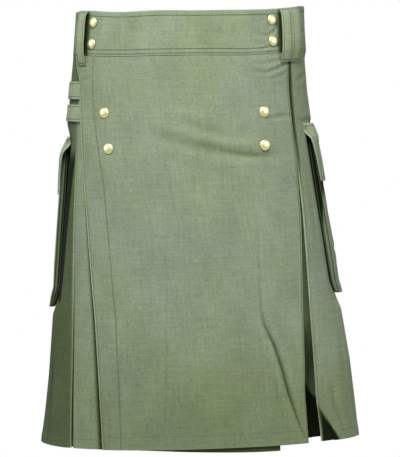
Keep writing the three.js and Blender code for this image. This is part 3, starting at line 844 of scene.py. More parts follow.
def pucker(gap, along, seed, size=0.22, reach=5.0):
    """Small ripples that a seam draws up: they run along it and fade with the distance from it."""
    random = np.random.default_rng(seed)
    length = random.uniform(7, 17, 4)
    start = random.uniform(0, 2 * np.pi, 4)
    ripple = np.sin(2 * np.pi * along[..., None] / length + start).mean(-1)
    return size * ripple * np.exp(-((gap / reach) ** 2))


def near_folds(length, folds, reach=1.5):
    """How worn the cloth is: 1 on the crest of a fold, fading over a few millimetres."""
    crest = length[:, folds]
    return np.exp(-(((length[..., None] - crest[:, None]) / reach) ** 2)).max(-1)


def dress(piece, nodes, material):
    """Material, body and replaced solids of a finished piece, and a print of its triangles."""
    piece.data.materials.append(material)
    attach(piece, "root")
    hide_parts(*nodes)
    triangles = sum(len(face.vertices) - 2 for face in piece.data.polygons)
    print(piece.name, triangles, "triangles")


def note_sheet(points):
    """Works out the mean walked length down a sheet, in metres, and does not keep it."""
    length = walked(points.swapaxes(0, 1))[:, -1].mean() / 1000


print("helpers for folds, creases and waves are ready")

# %% [markdown]
# ## The front apron
#
# The apron is one flat panel with a free stitched edge on the left and a pleat fold on the right. Its
# facing and its hem are turned under and sewn, so the cloth is thicker there and a line of stitches shows.
# It hangs nearly flat, but it isn't dead flat: a drag line runs from the middle to the lower right snap,
# a pressed crease runs down to the right corner of the hem, and the whole panel swells a little.

# %% Edge lines of the panels, as tables of drop and turn
apron_left = table((63, -0.3865), (65, -0.386), (77, -0.374), (96, -0.346), (152, -0.322), (237, -0.289),
                   (293, -0.268), (431, -0.225), (519, -0.204), (610, -0.184))
apron_right = table((65, 0.336), (143, 0.327), (215, 0.326), (302, 0.315), (372, 0.3), (448, 0.285),
                    (538, 0.271), (610, 0.269))
right_panel = table((65, 0.346), (143, 0.336), (215, 0.335), (290, 0.333), (393, 0.322), (498, 0.312),
                    (560, 0.309), (580, 0.317), (610, 0.336))
right_crest = table((65, 0.4), (540, 0.3095), (610, 0.311))
left_panel = table((65, -0.372), (150, -0.358), (215, -0.34), (293, -0.328), (432, -0.3), (521, -0.284),
                   (610, -0.267))
under_right = table((65, 0.25), (610, 0.211))
facing_line = table((61, -0.287), (101, -0.282), (126, -0.274), (152, -0.264), (235, -0.222), (291, -0.204),
                    (430, -0.167), (520, -0.151), (608, -0.138))
HIP_EDGE = 0.445
BACK_EDGES = (0.58, 0.715, 0.85)
UNDER_JOIN = -0.16
UNDER_LEVEL = -4.2
SKIRT_TOP = 63.4
APRON_HEM = 18
NARROW_HEM = 13
hem_share = apron_right(HEM_DROP) - apron_left(HEM_DROP)
print("apron width at the hem:", round(hem_share * float(half_girth(HEM_DROP, 0))), "mm")


# %% Front apron
def skirt_drops(count):
    """Rows from the skirt top to the hem, crowded at both ends."""
    return SKIRT_TOP + (HEM_DROP - SKIRT_TOP) * crowded(count, HEM_DROP - SKIRT_TOP)


drop = skirt_drops(232)
radius = fold_radius(drop)
apron = begin(drop, apron_left(drop), 0.0)
run(apron, apron_right(drop), 0.0, crowded(176, 300)[1:])
fold(apron, 1, -2 * radius, 12)
run(apron, apron_right(drop) - share_of(pleat_depth(drop), drop, 0.3), -2 * radius, 12)
turn, rows = apron["turn"], np.broadcast_to(drop[:, None], apron["turn"].shape)
face = 1 - ease(-0.4, -1.4, apron["out"])
girth = half_girth(rows, turn)
facing = (turn - facing_line(rows)) * girth
edge = (turn - apron_left(rows)) * girth
hem = rows - (HEM_DROP - APRON_HEM)
swell = 0.55 * waves(turn * HALF_GIRTH, rows, 190, 3) + 0.22 * waves(turn * HALF_GIRTH, rows, 70, 4)
swell *= ease(63, 110, rows) * ease(0, 30, edge)
pressed_line = [(0.187, 405, 0), (0.188, 425, 0.7), (0.193, 443, 1.2), (0.212, 471, 1.6), (0.226, 506, 1.6),
                (0.237, 540, 1.6), (0.256, 584, 1.4), (0.266, 602, 1.0)]
creases = [
    ([(-0.1, 162, 0), (-0.055, 175, 0.9), (0.024, 188, 1.4), (0.08, 194, 1.8), (0.115, 198, 2.0),
      (0.159, 201, 2.2), (0.203, 204, 2.0), (0.243, 204, 1.0), (0.29, 203, 0)], 7.5),
    ([(0.1, 198, 0), (0.159, 203, 0.9), (0.203, 206, 1.1), (0.243, 206, 0.6), (0.27, 205, 0)], 2.8),
    ([(-0.03, 150, 0), (0.03, 160, 0.8), (0.1, 172, 0.9), (0.17, 186, 0)], 7.0),
    ([(0.225, 158, 0), (0.25, 154, 0.8), (0.29, 152, 1.3), (0.322, 153, 0.7)], 3.0),
    ([(0.187, 418, 0), (0.193, 443, 1.4), (0.212, 471, 2.2), (0.226, 506, 2.4), (0.237, 540, 2.0),
      (0.256, 584, 0.5)], 3.4),
    (pressed_line, 1.4),
    ([(-0.04, 290, 0), (-0.036, 390, 0.6), (-0.036, 485, 0.8), (-0.036, 594, 0.3)], 1.5),
    ([(-0.008, 360, 0), (-0.01, 400, 0.6), (-0.013, 470, 0)], 1.5),
    ([(0.19, 250, 0), (0.192, 330, 0.7), (0.187, 420, 1.1)], 2.0),
    ([(-0.34, 117, 0.6), (-0.266, 119, 0.3)], 1.3),
    ([(-0.326, 151, 0.6), (-0.254, 152, 0.3)], 1.3),
    ([(0.2, 470, 0), (0.207, 530, 0.5), (0.214, 585, 0)], 3.0),
    ([(0.18, 84, 0), (0.25, 90, 1.2), (0.3, 84, 1.5), (0.333, 78, 0.6)], 2.6),
    ([(0.2, 75, 0), (0.252, 76, 1.2), (0.321, 73, 0.4)], 2.2),
    ([(0.23, 97, 0), (0.27, 99, 0.9), (0.32, 93, 0.5)], 2.6),
    ([(-0.35, 102, 0.5), (-0.32, 96, 0.9), (-0.285, 94, 0)], 3.0),
    ([(0.09, 565, 0), (0.1, 580, 0.7), (0.105, 600, 0)], 3.5),
    ([(0.13, 540, 0), (0.115, 565, 0.6), (0.12, 590, 0)], 4.0),
    ([(-0.1, 128, 0), (0.0, 133, 0.35), (0.08, 128, 0)], 5.0),
]
crumple = sum(crease(turn, rows, line, width) for line, width in creases)
ripple = pucker(facing, rows, 11) + pucker(hem, turn * HALF_GIRTH, 12, 0.5, 8)
ripple = ripple + pucker(edge - 2, rows, 13, 0.18)
bulk = 0.5 * (1 - ease(-1, 1, facing)) + 0.55 * ease(-1, 1, hem)
out = apron["out"] + face * (swell + crumple + ripple + bulk / 2) * ease(SKIRT_TOP, 72, rows)
out += face * 0.5 * np.exp(-((edge / 2.0) ** 2))
points = place(turn, rows, out)
length = walked(points)
crest = length[:, apron["folds"][0]][:, None]
trough, rubbed = crease_marks(crumple + ripple)
right_fold = np.exp(-(((length - crest) / 1.5) ** 2))
worn_and_painted_light = right_fold * 2.2 * ease(230, 330, rows) + 1.6 * np.exp(-((edge / 1.5) ** 2)) + face * rubbed
worn_and_painted_light = worn_and_painted_light + 0.7 * ease(-2.5, -0.5, rows - HEM_DROP)
# Painted shade on the apron: darker towards the hem where the light falls off, in crease troughs and along
# the pressed line, on the right fold near the top and all over the turned-back pleat.
deep = 0.28 * ease(390, 600, rows) + trough - 0.14 * crease(turn, rows, pressed_line, 1.3, 0)
deep = deep + 0.8 * right_fold * (1 - ease(180, 260, rows))
deep = np.where(face > 0.5, deep, 0.8) * (1 - 0.8 * right_fold * ease(230, 330, rows))
apron_seams = [edge - 2.6, facing, hem, length - crest + 3.4]
shown_seams = [edge - 2.6, facing, hem * 2.5, length - crest + 3.4]
apron_piece = cloth_wall("front_apron_cloth", points, 1.2 + bulk, shown_seams, worn_and_painted_light,
                         cloth_map(points, drop), deep)
dress(apron_piece, ["front_apron"], sage_drill)
note_sheet(points)
sew("apron_stitches", seam_line(points, apron_seams[0], "down", 3, -3, 3))
sew("apron_stitches", seam_line(points, apron_seams[1], "down", 3, -3, 3), lift=0.72)
sew("apron_stitches", seam_line(points, apron_seams[2], "across", 3, 174), lift=0.72)
sew("apron_stitches", seam_line(points, apron_seams[3], "down", 3, -3, 20))

# %% [markdown]
# ## Pleated panels
#
# Every pleated panel is made in the same way: begin a path, run and fold it, place it on the form, and
# add the same kinds of wave, hem and stitch. One function does the last part, so that each panel only
# has to give its path and its own creases.

# %% One function for all the pleated panels
def pleated(name, nodes, path, group, hem_up, creases, seed, painted_shade, edge_folds, face_level=-1.0,
            hem_from=3):
    """Cloth wall of a pleated path with waves, creases, a hem line and stitches beside chosen folds.

    edge_folds are (number of the fold, side) pairs; the stitches lie 2.8 mm to that side of the crest.
    """
    turn, drop = path["turn"], path["drop"]
    rows = np.broadcast_to(drop[:, None], turn.shape)
    across = turn * half_girth(rows, turn)
    shown = ease(face_level - 1.4, face_level + 0.4, path["out"])
    hem = rows - (HEM_DROP - hem_up)
    wave = 0.5 * waves(across, rows, 150, seed) + 0.18 * waves(across, rows, 60, seed + 1)
    crumple = sum(crease(turn, rows, line, width) for line, width in creases)
    bulk = 0.5 * ease(-1, 1, hem)
    ripple = pucker(hem, across, seed + 2, 0.4, 7)
    out = path["out"] + shown * (wave + crumple + ripple + bulk / 2) * ease(SKIRT_TOP, 74, rows)
    out = out + path.get("lift", 0.0) * (1 - ease(SKIRT_TOP, 73, rows))
    points = place(turn, rows, out)
    length = walked(points)
    trough, rubbed = crease_marks((crumple + ripple) * shown)
    crests = near_folds(length, path["folds"], 1.3) * ease(150, 260, rows)
    # Painted shade: darker towards the hem and in crease troughs, and less of it on fold crests.
    painted_shade = (np.maximum(painted_shade, 0.2 * ease(430, HEM_DROP, rows)) + trough) * (1 - 0.85 * crests)
    worn_and_painted_light = 2.2 * crests + rubbed + 0.6 * ease(-2.5, -0.5, rows - HEM_DROP)
    worn_and_painted_light = worn_and_painted_light + 0.8 * (np.exp(-((length / 1.3) ** 2)) + np.exp(-(((length - length[:, -1:]) / 1.3) ** 2)))
    sides = [length - length[:, [path["folds"][k]]] - 2.8 * way for k, way in edge_folds]
    piece = cloth_wall(name, points, 1.2 + bulk, (sides + [FAR, FAR, FAR])[:3] + [hem * 2.5], worn_and_painted_light,
                       cloth_map(points, drop), painted_shade)
    dress(piece, nodes, sage_drill)
    for field in sides:
        sew(group, seam_line(points, field, "down", 3, -3))
    sew(group, seam_line(points, hem, "across", hem_from, -3), lift=0.72)
    note_sheet(points)


print("a pleated panel lists its folds in the order in which its path meets them")

# %% Inner apron
drop = skirt_drops(110)
under = begin(drop, UNDER_JOIN + share_of(0.4, drop, UNDER_JOIN), UNDER_LEVEL)
run(under, under_right(drop), UNDER_LEVEL, crowded(64, 190)[1:])
turn = under["turn"]
rows = drop[:, None] + 8 * ease(-0.16, 0.2, turn) * ease(470, HEM_DROP, drop)[:, None]
under_out = under["out"] + 0.25 * waves(turn * HALF_GIRTH, rows, 120, 21) * ease(SKIRT_TOP, 90, rows)
points = place(turn, rows, under_out)
under_seams = [FAR, FAR, (turn - under_right(rows)) * HALF_GIRTH + 3, rows - 598]
# The whole inner apron gets strong painted shade, as it lies under the front apron.
under_piece = cloth_wall("under_apron_cloth", points, 1.2, under_seams, ease(-2.5, -0.5, rows - 618) * 0.6,
                         cloth_map(points, drop), 0.8)
dress(under_piece, ["under_apron"], sage_drill)
note_sheet(points)
sew("apron_stitches", seam_line(points, under_seams[3], "across", 3, -3))

# %% Where the cargo pockets hang, so that the hips can get painted shade beside them
POUCH_TOPS = {"left": 200.0, "right": 188.0}
POUCH_HEIGHT = 219.0


def pouch_start(down):
    """Turn of the front edge of a pouch, down mm below its mouth."""
    return 0.4 + 0.03 * down / POUCH_HEIGHT


print("front edge of a pouch at its mouth and floor:", pouch_start(0), pouch_start(POUCH_HEIGHT))

# %% Right hip: inverted opening, then the panel
drop = skirt_drops(170)
radius = fold_radius(drop)
depth = share_of(pleat_depth(drop), drop, 0.3)
right = begin(drop, apron_right(drop) - depth + share_of(2, drop, 0.3), -4 * radius)
deep = 34 * ease(430, 560, drop)
pressed = -(2 * radius - 1.8) * ease(540, 600, drop)
crest = np.minimum(right_panel(drop), right_crest(drop))
right["out"] = right["out"] - deep[:, None]
run(right, right_panel(drop) + depth - share_of(deep * 0.55, drop, 0.3), -4 * radius - deep, 26)
fold(right, 1, -2 * radius, 14)
run(right, crest, -2 * radius, 14)
fold(right, -1, pressed)
run(right, right_panel(drop) + 0.004, pressed, 10)
run(right, right_panel(drop) + 0.008, 0.0, 5)
run(right, HIP_EDGE, 0.0, 40)
fold(right, 1, -2 * radius)
run(right, HIP_EDGE - depth, -2 * radius, 12)
right_creases = [
    ([(0.352, 158, 0), (0.375, 163, 1.2), (0.41, 160, 1.3), (0.44, 163, 0.4)], 3.2),
    ([(0.35, 100, 0), (0.38, 104, 0.8), (0.43, 96, 0.5)], 4.0),
    ([(0.36, 215, 0), (0.366, 290, 0.7), (0.36, 380, 0)], 4.0),
    ([(0.4, 420, 0), (0.395, 500, 0.8), (0.385, 590, 0)], 6.0),
    ([(0.346, 520, 0), (0.35, 560, 1.2), (0.372, 600, 0.5)], 4.0),
]
columns = np.arange(right["turn"].shape[1])
rows = drop[:, None]
inside = 1 - ease(right["folds"][1] - 2, right["folds"][1] + 1, columns)
# Painted shade on the right hip: inside the opening, in the corner at the hem, as a shadow beside the apron
# fold and beside the pouch, and lightly on the upper panel.
opening = inside * (0.78 - 0.2 * ease(160, 260, rows))
level = np.where(inside > 0.5, 524 + 720 * (right["turn"] - 0.315), 530 + 1040 * (right["turn"] - 0.2777))
corner = ease(-4, 5, rows - level) * (right["turn"] < right_panel(rows) + 0.03 + inside)
from_apron = (right["turn"] - apron_right(rows) - 0.006) * HALF_GIRTH
beside_apron = 0.9 * np.exp(-((from_apron / 4.2) ** 4)) * (1 - ease(200, 300, rows))
pouch_edge = pouch_start(rows - POUCH_TOPS["right"]) - 0.004
beside_pouch = np.exp(-(((right["turn"] - pouch_edge) / 0.008) ** 2)) * (columns > right["folds"][1])
beside_pouch *= ease(150, 200, rows) * (1 - 0.6 * ease(280, 330, rows)) * (1 - ease(390, 415, rows))
upper = 0.1 * (1 - ease(250, 400, rows)) * (columns > right["folds"][1])
right_painted_shade = np.maximum.reduce(np.broadcast_arrays(opening, corner, beside_apron, beside_pouch, upper))
pleated("right_hip_cloth", ["pleats_right"], right, "hip_stitches", NARROW_HEM, right_creases, 31,
        right_painted_shade, [(1, 1), (2, -1)], hem_from=right["folds"][1] + 31)

# %% Left hip: first panel beside the apron, a slit, and the hip panel
drop = skirt_drops(170)
radius = fold_radius(drop)
first = left_panel(drop)
slit = share_of(2 * radius + 1.8, drop, -0.3) + 0.01 * ease(STITCHED_TO, HEM_DROP, drop)
second = first - slit
depth = share_of(pleat_depth(drop) * 0.7, drop, -0.3)
left = begin(drop, UNDER_JOIN, UNDER_LEVEL)
run(left, first, UNDER_LEVEL, 40)
fold(left, -1, UNDER_LEVEL - 2 * radius)
run(left, first + depth, UNDER_LEVEL - 2 * radius, 8)
fold(left, 1, UNDER_LEVEL - 4 * radius)
run(left, second - depth, UNDER_LEVEL - 4 * radius, 14)
fold(left, -1, UNDER_LEVEL - 2 * radius)
run(left, second, UNDER_LEVEL - 2 * radius, 8)
fold(left, 1, UNDER_LEVEL)
run(left, -0.42, -0.4, 26)
run(left, -HIP_EDGE, 0.0, 6)
fold(left, -1, -2 * radius)
run(left, -HIP_EDGE + share_of(10, drop, -0.3), -2 * radius, 6)
count = left["turn"].shape[1]
left["turn"], left["out"] = left["turn"][:, ::-1], left["out"][:, ::-1]
left["folds"] = [count - 1 - k for k in left["folds"]][::-1]
left_creases = [
    ([(-0.39, 100, 0), (-0.41, 108, 1.0), (-0.44, 105, 0.4)], 4.0),
    ([(-0.4, 440, 0), (-0.39, 520, 1.0), (-0.375, 600, 0.4)], 6.0),
    ([(-0.31, 300, 0), (-0.3, 400, 0.7), (-0.285, 500, 0)], 5.0),
    ([(-0.28, 480, 0), (-0.262, 560, 0.6), (-0.25, 600, 0.2)], 5.0),
]
columns = np.arange(count)
rows = drop[:, None]
# Painted shade on the left hip: over the hip panel, in a band beside the pouch and as a shadow beside the
# apron edge.
hip_panel = 1 - ease(left["folds"][4] - 3, left["folds"][4] - 1, columns)
hip_panel = hip_panel * (0.6 + 0.08 * ease(150, 260, rows))
below_mouth = rows - POUCH_TOPS["left"]
from_pouch = left["turn"] + pouch_start(below_mouth)
beside_pouch = 1 - ease(0.046, 0.056, from_pouch - 0.01 * below_mouth / POUCH_HEIGHT)
beside_pouch *= ease(165, 215, rows) * (1 - ease(405, 425, rows))
contact_width = 2.2 + 2.4 * ease(250, 600, rows)
from_apron = (left["turn"] - apron_left(rows)) * HALF_GIRTH + 3.0
beside_apron = 0.95 * np.exp(-((from_apron / contact_width) ** 2)) * ease(150, 300, rows)
left_painted_shade = np.maximum.reduce(np.broadcast_arrays(hip_panel, beside_pouch, beside_apron))
pleated("left_hip_cloth", ["pleats_left"], left, "hip_stitches", NARROW_HEM, left_creases, 41,
        left_painted_shade, [(4, 1), (1, 1)], -5.2)

# %% Back: three knife pleats on each half, mirrored at the centre back
drop = skirt_drops(130)
radius = fold_radius(drop)


def back_half(side):
    """Turn, level and lift columns of one half of the back, and its folds, from the hip to the middle.

    lift brings a panel out to the band at its top, where all the layers are sewn flat. hidden is 1 in
    the folds and runs out to 0 on the panels; it marks where the folds get painted shade.
    """
    deep = share_of(30, drop, side)
    under_lap = share_of(3, drop, side)
    inset = (pleat_depth(drop) if side > 0 else 10) - 2
    half = begin(drop, HIP_EDGE - share_of(inset, drop, side), -4 * radius)
    run(half, HIP_EDGE + under_lap, -4 * radius, 10)
    panels = []
    for edge_turn in BACK_EDGES:
        panels.append(half["turn"].shape[1])
        run(half, edge_turn, 0.0, 24)
        panels.append(half["turn"].shape[1])
        fold(half, 1, -2 * radius, 8)
        run(half, edge_turn - deep, -2 * radius, 6)
        fold(half, -1, -4 * radius, 8)
        run(half, edge_turn + under_lap, -4 * radius, 6)
    panels.append(half["turn"].shape[1])
    run(half, 1.0, -2 * radius, 12)
    panels.append(half["turn"].shape[1])
    half["lift"] = np.zeros(panels[-1])
    half["hidden"] = np.ones(panels[-1])
    for start, end in zip(panels[::2], panels[1::2]):
        half["hidden"][start:end] = 1 - ease(0, 4, np.arange(end - start))
        half["lift"][start:end] = -half["out"][0, start:end] * ease(-1, 1, np.arange(end - start))
    return half


back = back_half(1)
mirror = back_half(-1)
offset = back["turn"].shape[1] - 1
count = mirror["turn"].shape[1]
back["turn"] = np.concatenate([back["turn"], 2 - mirror["turn"][:, -2::-1]], 1)
back["out"] = np.concatenate([back["out"], mirror["out"][:, -2::-1]], 1)
back["lift"] = np.concatenate([back["lift"], mirror["lift"][-2::-1]])
back["hidden"] = np.concatenate([back["hidden"], mirror["hidden"][-2::-1]])
back["folds"] += [offset + count - 1 - k for k in mirror["folds"]][::-1]
back_creases = [
    ([(0.6, 300, 0), (0.64, 420, 1.2), (0.67, 590, 0.5)], 7.0),
    ([(0.76, 260, 0), (0.8, 400, 1.0), (0.82, 520, 0)], 7.0),
    ([(0.93, 120, 0), (1.0, 150, 1.3), (1.07, 120, 0)], 7.0),
    ([(1.2, 300, 0), (1.22, 430, 1.1), (1.26, 580, 0.4)], 7.0),
    ([(1.36, 200, 0), (1.35, 330, 0.9), (1.33, 450, 0)], 7.0),
    ([(0.97, 380, 0), (1.0, 480, 0.8), (0.98, 590, 0.3)], 6.0),
]
# Painted shade in the folds of the back, on the layers that lie more than about 5 mm in.
back_painted_shade = 0.7 * back["hidden"] * (1 - ease(-7.0, -4.5, back["out"]))
pleated("back_cloth", ["pleats_back"], back, "back_stitches", NARROW_HEM, back_creases, 51,
        back_painted_shade, [(0, -1), (2, -1), (4, -1)])
print("folds in the back:", len(back["folds"]))

# %% [markdown]
# ## Waistband
#
# The band is one long doubled strip. It starts inside on the right, crosses the front inside, goes round
# the back and comes across the front again on the outside. Two rows of stitches hold its lower edge and
# one holds the rim. It is stiff, but the snaps and the belt loops still pull small creases into it.

# %% Waistband, with painted shadow below the belt loops
BAND_DEPTH = 63.0
LOOPS = {
    "front_left_inner": -0.333, "front_right_inner": 0.321, "front_right_outer": 0.3608,
    "back_left_outer": -0.7, "back_left_inner": -0.751, "back_right_outer": 0.7, "back_right_inner": 0.751,
}
drop = BAND_DEPTH * crowded(34, BAND_DEPTH)
band = begin(drop, 0.3, -5.0)
run(band, -0.4, -5.0, 46)
run(band, -0.47, 0.0, 8)
run(band, -1.0, 0.0, 60)
run(band, -1.58, 0.0, 66)
run(band, -2.385, 0.0, crowded(190, 380, 1.2)[1:])
band["turn"], band["out"] = band["turn"][:, ::-1], band["out"][:, ::-1]
flat_turn = np.where(band["turn"] < -1, band["turn"] + 2, band["turn"])
outside = (band["turn"] < -0.47).astype(float)
rows = np.broadcast_to(drop[:, None], flat_turn.shape)
across = band["turn"] * HALF_GIRTH
wave = 0.5 * waves(across, rows, 120, 61) + 0.2 * waves(across, rows, 40, 62)
band_creases = [
    ([(0.235, 34, 0), (0.256, 38, 1.2), (0.282, 33, 1.5), (0.3, 22, 0.4)], 2.2),
    ([(0.225, 58, 0), (0.26, 53, 1.4), (0.29, 50, 1.0), (0.308, 54, 0)], 1.9),
    ([(0.286, 3, 0), (0.289, 12, 1.6), (0.294, 24, 0.5)], 1.5),
    ([(0.2, 50, 0), (0.23, 47, 0.9), (0.262, 49, 0)], 1.8),
    ([(0.262, 5, 0), (0.268, 24, 0.9), (0.266, 40, 0)], 1.8),
    ([(-0.28, 20, 0), (-0.268, 30, 0.5), (-0.274, 40, 0)], 2.6),
    ([(0.05, 25, 0), (0.12, 33, 0.35), (0.2, 29, 0)], 5.0),
    ([(0.41, 20, 0), (0.43, 34, 1.2), (0.46, 40, 0.4)], 3.0),
    ([(-0.97, 20, 0), (-1.0, 34, 0.8), (-1.03, 22, 0)], 4.0),
    ([(0.64, 16, 0), (0.66, 36, 0.8), (0.655, 50, 0)], 4.0),
    ([(-0.62, 18, 0), (-0.64, 36, 0.8), (-0.63, 48, 0)], 4.0),
]
crumple = sum(crease(flat_turn, rows, line, width) for line, width in band_creases)
ripple = pucker(rows - 8, across, 63, 0.14, 4) + pucker(rows - 57, across, 64, 0.2, 5)
steady = ease(0, 12, rows) * (1 - ease(52, 63, rows))
out = band["out"] + outside * (wave * steady + crumple + ripple)
points = place(flat_turn, rows, out)
uneven = 0.0011 * waves(across, rows * 0, 160, 65) * (1 - ease(0, 50, rows))
points[..., 2] += uneven * ease(-2.37, -2.3, band["turn"])
band_seams = [rows - 8, rows - 54.6, rows - 60.6, walked(points) - 4]
trough, rubbed = crease_marks(crumple + ripple)
worn_and_painted_light = np.maximum(1 - ease(0, 2.5, rows), ease(60.8, 62.5, rows)) + rubbed
worn_and_painted_light = worn_and_painted_light + np.exp(-((walked(points) / 1.5) ** 2))
loop_turns = np.array(list(LOOPS.values()))
below_loop = np.exp(-(((flat_turn[..., None] - loop_turns) / 0.0245) ** 6)).max(-1)
# Painted shadow under each belt loop, and painted shade on the inside of the band and in crease troughs.
band_painted_shade = 0.95 * below_loop * ease(2, 7, rows) + (1 - outside) * 0.2 + trough
band_piece = cloth_wall("waistband_cloth", points, 2.6, band_seams, worn_and_painted_light, cloth_map(points, drop),
                        band_painted_shade, INSIDE_PAINTED_SHADE)
dress(band_piece, ["waistband"], sage_drill)
note_sheet(points)
for field in band_seams[:3]:
    sew("waistband_stitches", seam_line(points, field, "across", 3, -3), lift=1.24)
sew("waistband_stitches", seam_line(points, band_seams[3], "down", 3, -3), lift=1.24)

# %% [markdown]
# ## Belt loops, straps and flaps
#
# These are doubled strips that arch over the band or over a pocket mouth. Each is given by a profile of
# drops and levels. The profile is read at even steps and softened with a moving mean, which rounds the
# corners that a few numbers would leave.

# %% Strips with a soft profile
def soft_profile(profile, count, spread=2.5):
    """Profile read at even steps of its length and softened: mean over spread mm to each side."""
    profile = np.array(profile, float)
    step = np.hypot(*np.diff(profile, axis=0).T)
    length = np.concatenate([[0], np.cumsum(step)])
    at = np.linspace(0, length[-1], count)
    window = np.linspace(-1, 1, 9)
    near = np.minimum(np.minimum(at, length[-1] - at), spread)
    spots = at[:, None] + window * near[:, None]
    return np.stack([np.interp(spots, length, profile[:, k]).mean(1) for k in range(2)], -1)


def strip(name, node, profile, middle, half_width, thickness, group, rows, columns, inset, seed, bend=0.3,
          wider=0.0, tacks=(), curl=(0.0, 0.0), edge_painted_shade=0.0):
    """Doubled strip: profile down, straight across, stitched all round at an inset in mm.

    curl is how far both sides bend in, in mm, at the top and further down: out - curl exp(-(d / 7)^2) at
    d mm from the side. edge_painted_shade is how much painted shade darkens the edges, as a dark outline.
    """
    line = soft_profile(profile, rows - 4)
    edge_share = crowded(rows, len(line), 0.4)
    line = np.stack([np.interp(edge_share, np.linspace(0, 1, len(line)), line[:, k]) for k in range(2)], -1)
    drop = line[:, :1]
    side = 2 * crowded(columns, 2 * half_width) - 1
    share = (drop - drop[0]) / (drop[-1] - drop[0])
    width = share_of(half_width, drop, middle)
    turn = middle + wider * share + side * width
    spot = side * half_width
    dome = 0.35 * (1 - side**2) * np.sin(np.pi * np.linspace(0, 1, rows))[:, None]
    out = line[:, 1:] + dome + bend * waves(spot + middle * 900, drop, 34, seed) * np.sin(np.pi * share)
    bent = (curl[0] + (curl[1] - curl[0]) * ease(0.14, 0.28, share)) * ease(0, 0.12, share)
    out = out - bent * np.exp(-(((half_width - np.abs(spot)) / 7) ** 2))
    points = place(turn, np.broadcast_to(drop, turn.shape), out)
    down = walked(points.swapaxes(0, 1)).T
    across = walked(points)
    seams = [across - inset, across - across[:, -1:] + inset, down - inset, down - down[-1:] + inset]
    rim = np.minimum(np.minimum(across, across[:, -1:] - across), np.minimum(down, down[-1:] - down))
    # A base of 0.75 paints the whole strip paler as painted light, and the rims are paler again where they
    # are rubbed.
    worn_and_painted_light = 0.75 + (0.9 - edge_painted_shade) * np.exp(-((rim / 1.4) ** 2))
    # Painted shade: a dark outline along the rims, and the underside darkened away from its rim.
    edge_shade_mask = edge_painted_shade * np.exp(-((rim / 0.7) ** 2))
    strip_inside_shade = np.maximum(0.85 * ease(1.5, 5, rim), edge_shade_mask)
    piece = cloth_wall(name, points, thickness, seams, worn_and_painted_light, cloth_map(points, drop[:, 0]), edge_shade_mask, strip_inside_shade)
    dress(piece, [node], sage_drill)
    note_sheet(points)
    for field in seams[:2]:
        sew(group, seam_line(points, field, "down", 3, -3), lift=thickness / 2 - 0.03)
    for field in seams[2:]:
        sew(group, seam_line(points, field, "across", 3, -3), lift=thickness / 2 - 0.03)
    normal = surface_normals(points)
    for row in tacks:
        centre = points[row, columns // 2]
        bar_tack(group, centre, points[row, -1] - points[row, 0], normal[row, columns // 2],
                 half_width * 1.5, 3.0, thickness / 2)


print("softened profile keeps its ends:", soft_profile([(0, 0), (5, 2), (10, 0)], 5)[[0, -1]].tolist())

# %% Seven belt loops: one on the left front, pairs elsewhere
LOOP_PROFILE = [(0.8, 2.2), (3, 5.8), (9, 8.1), (20, 8.9), (46, 8.9), (60, 7.6), (70, 4.6), (77, 2)]
for number, (label, middle) in enumerate(LOOPS.items()):
    strip(f"loop_{label}_cloth", f"loop_{label}", LOOP_PROFILE, middle, 9.0, 1.6, "loop_stitches",
          62, 20, 3.0, 70 + number, tacks=(5, -6), edge_painted_shade=0.35)

# %% Cargo pocket flaps
FLAP_PROFILE = [(-22, 2.2), (-14, 6.8), (-4, 12.2), (6, 14.6), (30, 15.8), (60, 15.8)]
FLAP_HALF_WIDTH = 81
for label, side in (("left", -1), ("right", 1)):
    top = POUCH_TOPS[label]
    profile = [(top + down, out) for down, out in FLAP_PROFILE]
    middle = side * (0.375 + FLAP_HALF_WIDTH / float(half_girth(top, side)))
    strip(f"flap_{label}_cloth", f"flap_{label}", profile, middle, FLAP_HALF_WIDTH, 2.0, "pocket_stitches",
          64, 74, 5.0, 90 + side, 0.5, wider=side * 0.035, curl=(7.5, 3.5))

# %% Two closing straps on the left hip
strap_rest = begin(np.zeros(2), -0.3, -2.0)
for turn_goal, level, steps in ((-0.352, -2.0, 20), (-0.385, 0.4, 12), (-0.425, 1.9, 16), (-0.53, 1.9, 34)):
    run(strap_rest, turn_goal, level, steps)
strap_turn, strap_level = strap_rest["turn"][0, ::-1], strap_rest["out"][0, ::-1]
kernel = np.hanning(9)[1:-1]
kernel /= kernel.sum()
strap_level = np.concatenate([strap_level[:3], np.convolve(strap_level, kernel, "valid"), strap_level[-3:]])
STRAP_ROWS = 26
for label, top, height_of in (("upper", 100.0, 24.5), ("lower", 132.5, 23.5)):
    drop = top + height_of * crowded(STRAP_ROWS, height_of, 0.4)
    turn = np.tile(strap_turn, (STRAP_ROWS, 1))
    rows = np.broadcast_to(drop[:, None], turn.shape)
    bow = 0.3 * waves(turn * HALF_GIRTH, rows, 30, int(top)) * ease(-0.36, -0.42, turn)
    slot_fold = crease(turn, rows, [(-0.402, top + 5, 0.9), (-0.402, top + height_of - 5, 0.9)], 1.2)
    points = place(turn, rows, strap_level + 0.4 + bow + slot_fold)
    length = walked(points)
    rim = np.minimum(rows - top, top + height_of - rows)
    strap_seams = [rows - top - 3, rows - top - height_of + 3, (turn + 0.392) * HALF_GIRTH,
                   (turn + 0.41) * HALF_GIRTH]
    # A base of 0.8 paints the whole strap paler as painted light, and the rims are paler again where they
    # are rubbed.
    worn_and_painted_light = 0.8 + 0.9 * np.exp(-((rim / 1.4) ** 2))
    piece = cloth_wall(f"strap_{label}_cloth", points, 1.6, strap_seams, worn_and_painted_light, cloth_map(points, drop))
    dress(piece, [f"strap_{label}"], sage_drill)
    note_sheet(points)
    for field in strap_seams[:2]:
        sew("strap_stitches", seam_line(points, field, "across", 3, -22), lift=0.78)
    for field in strap_seams[2:]:
        sew("strap_stitches", seam_line(points, field, "down", 3, -3), 1.9, 1.7, 0.36, 0.8)

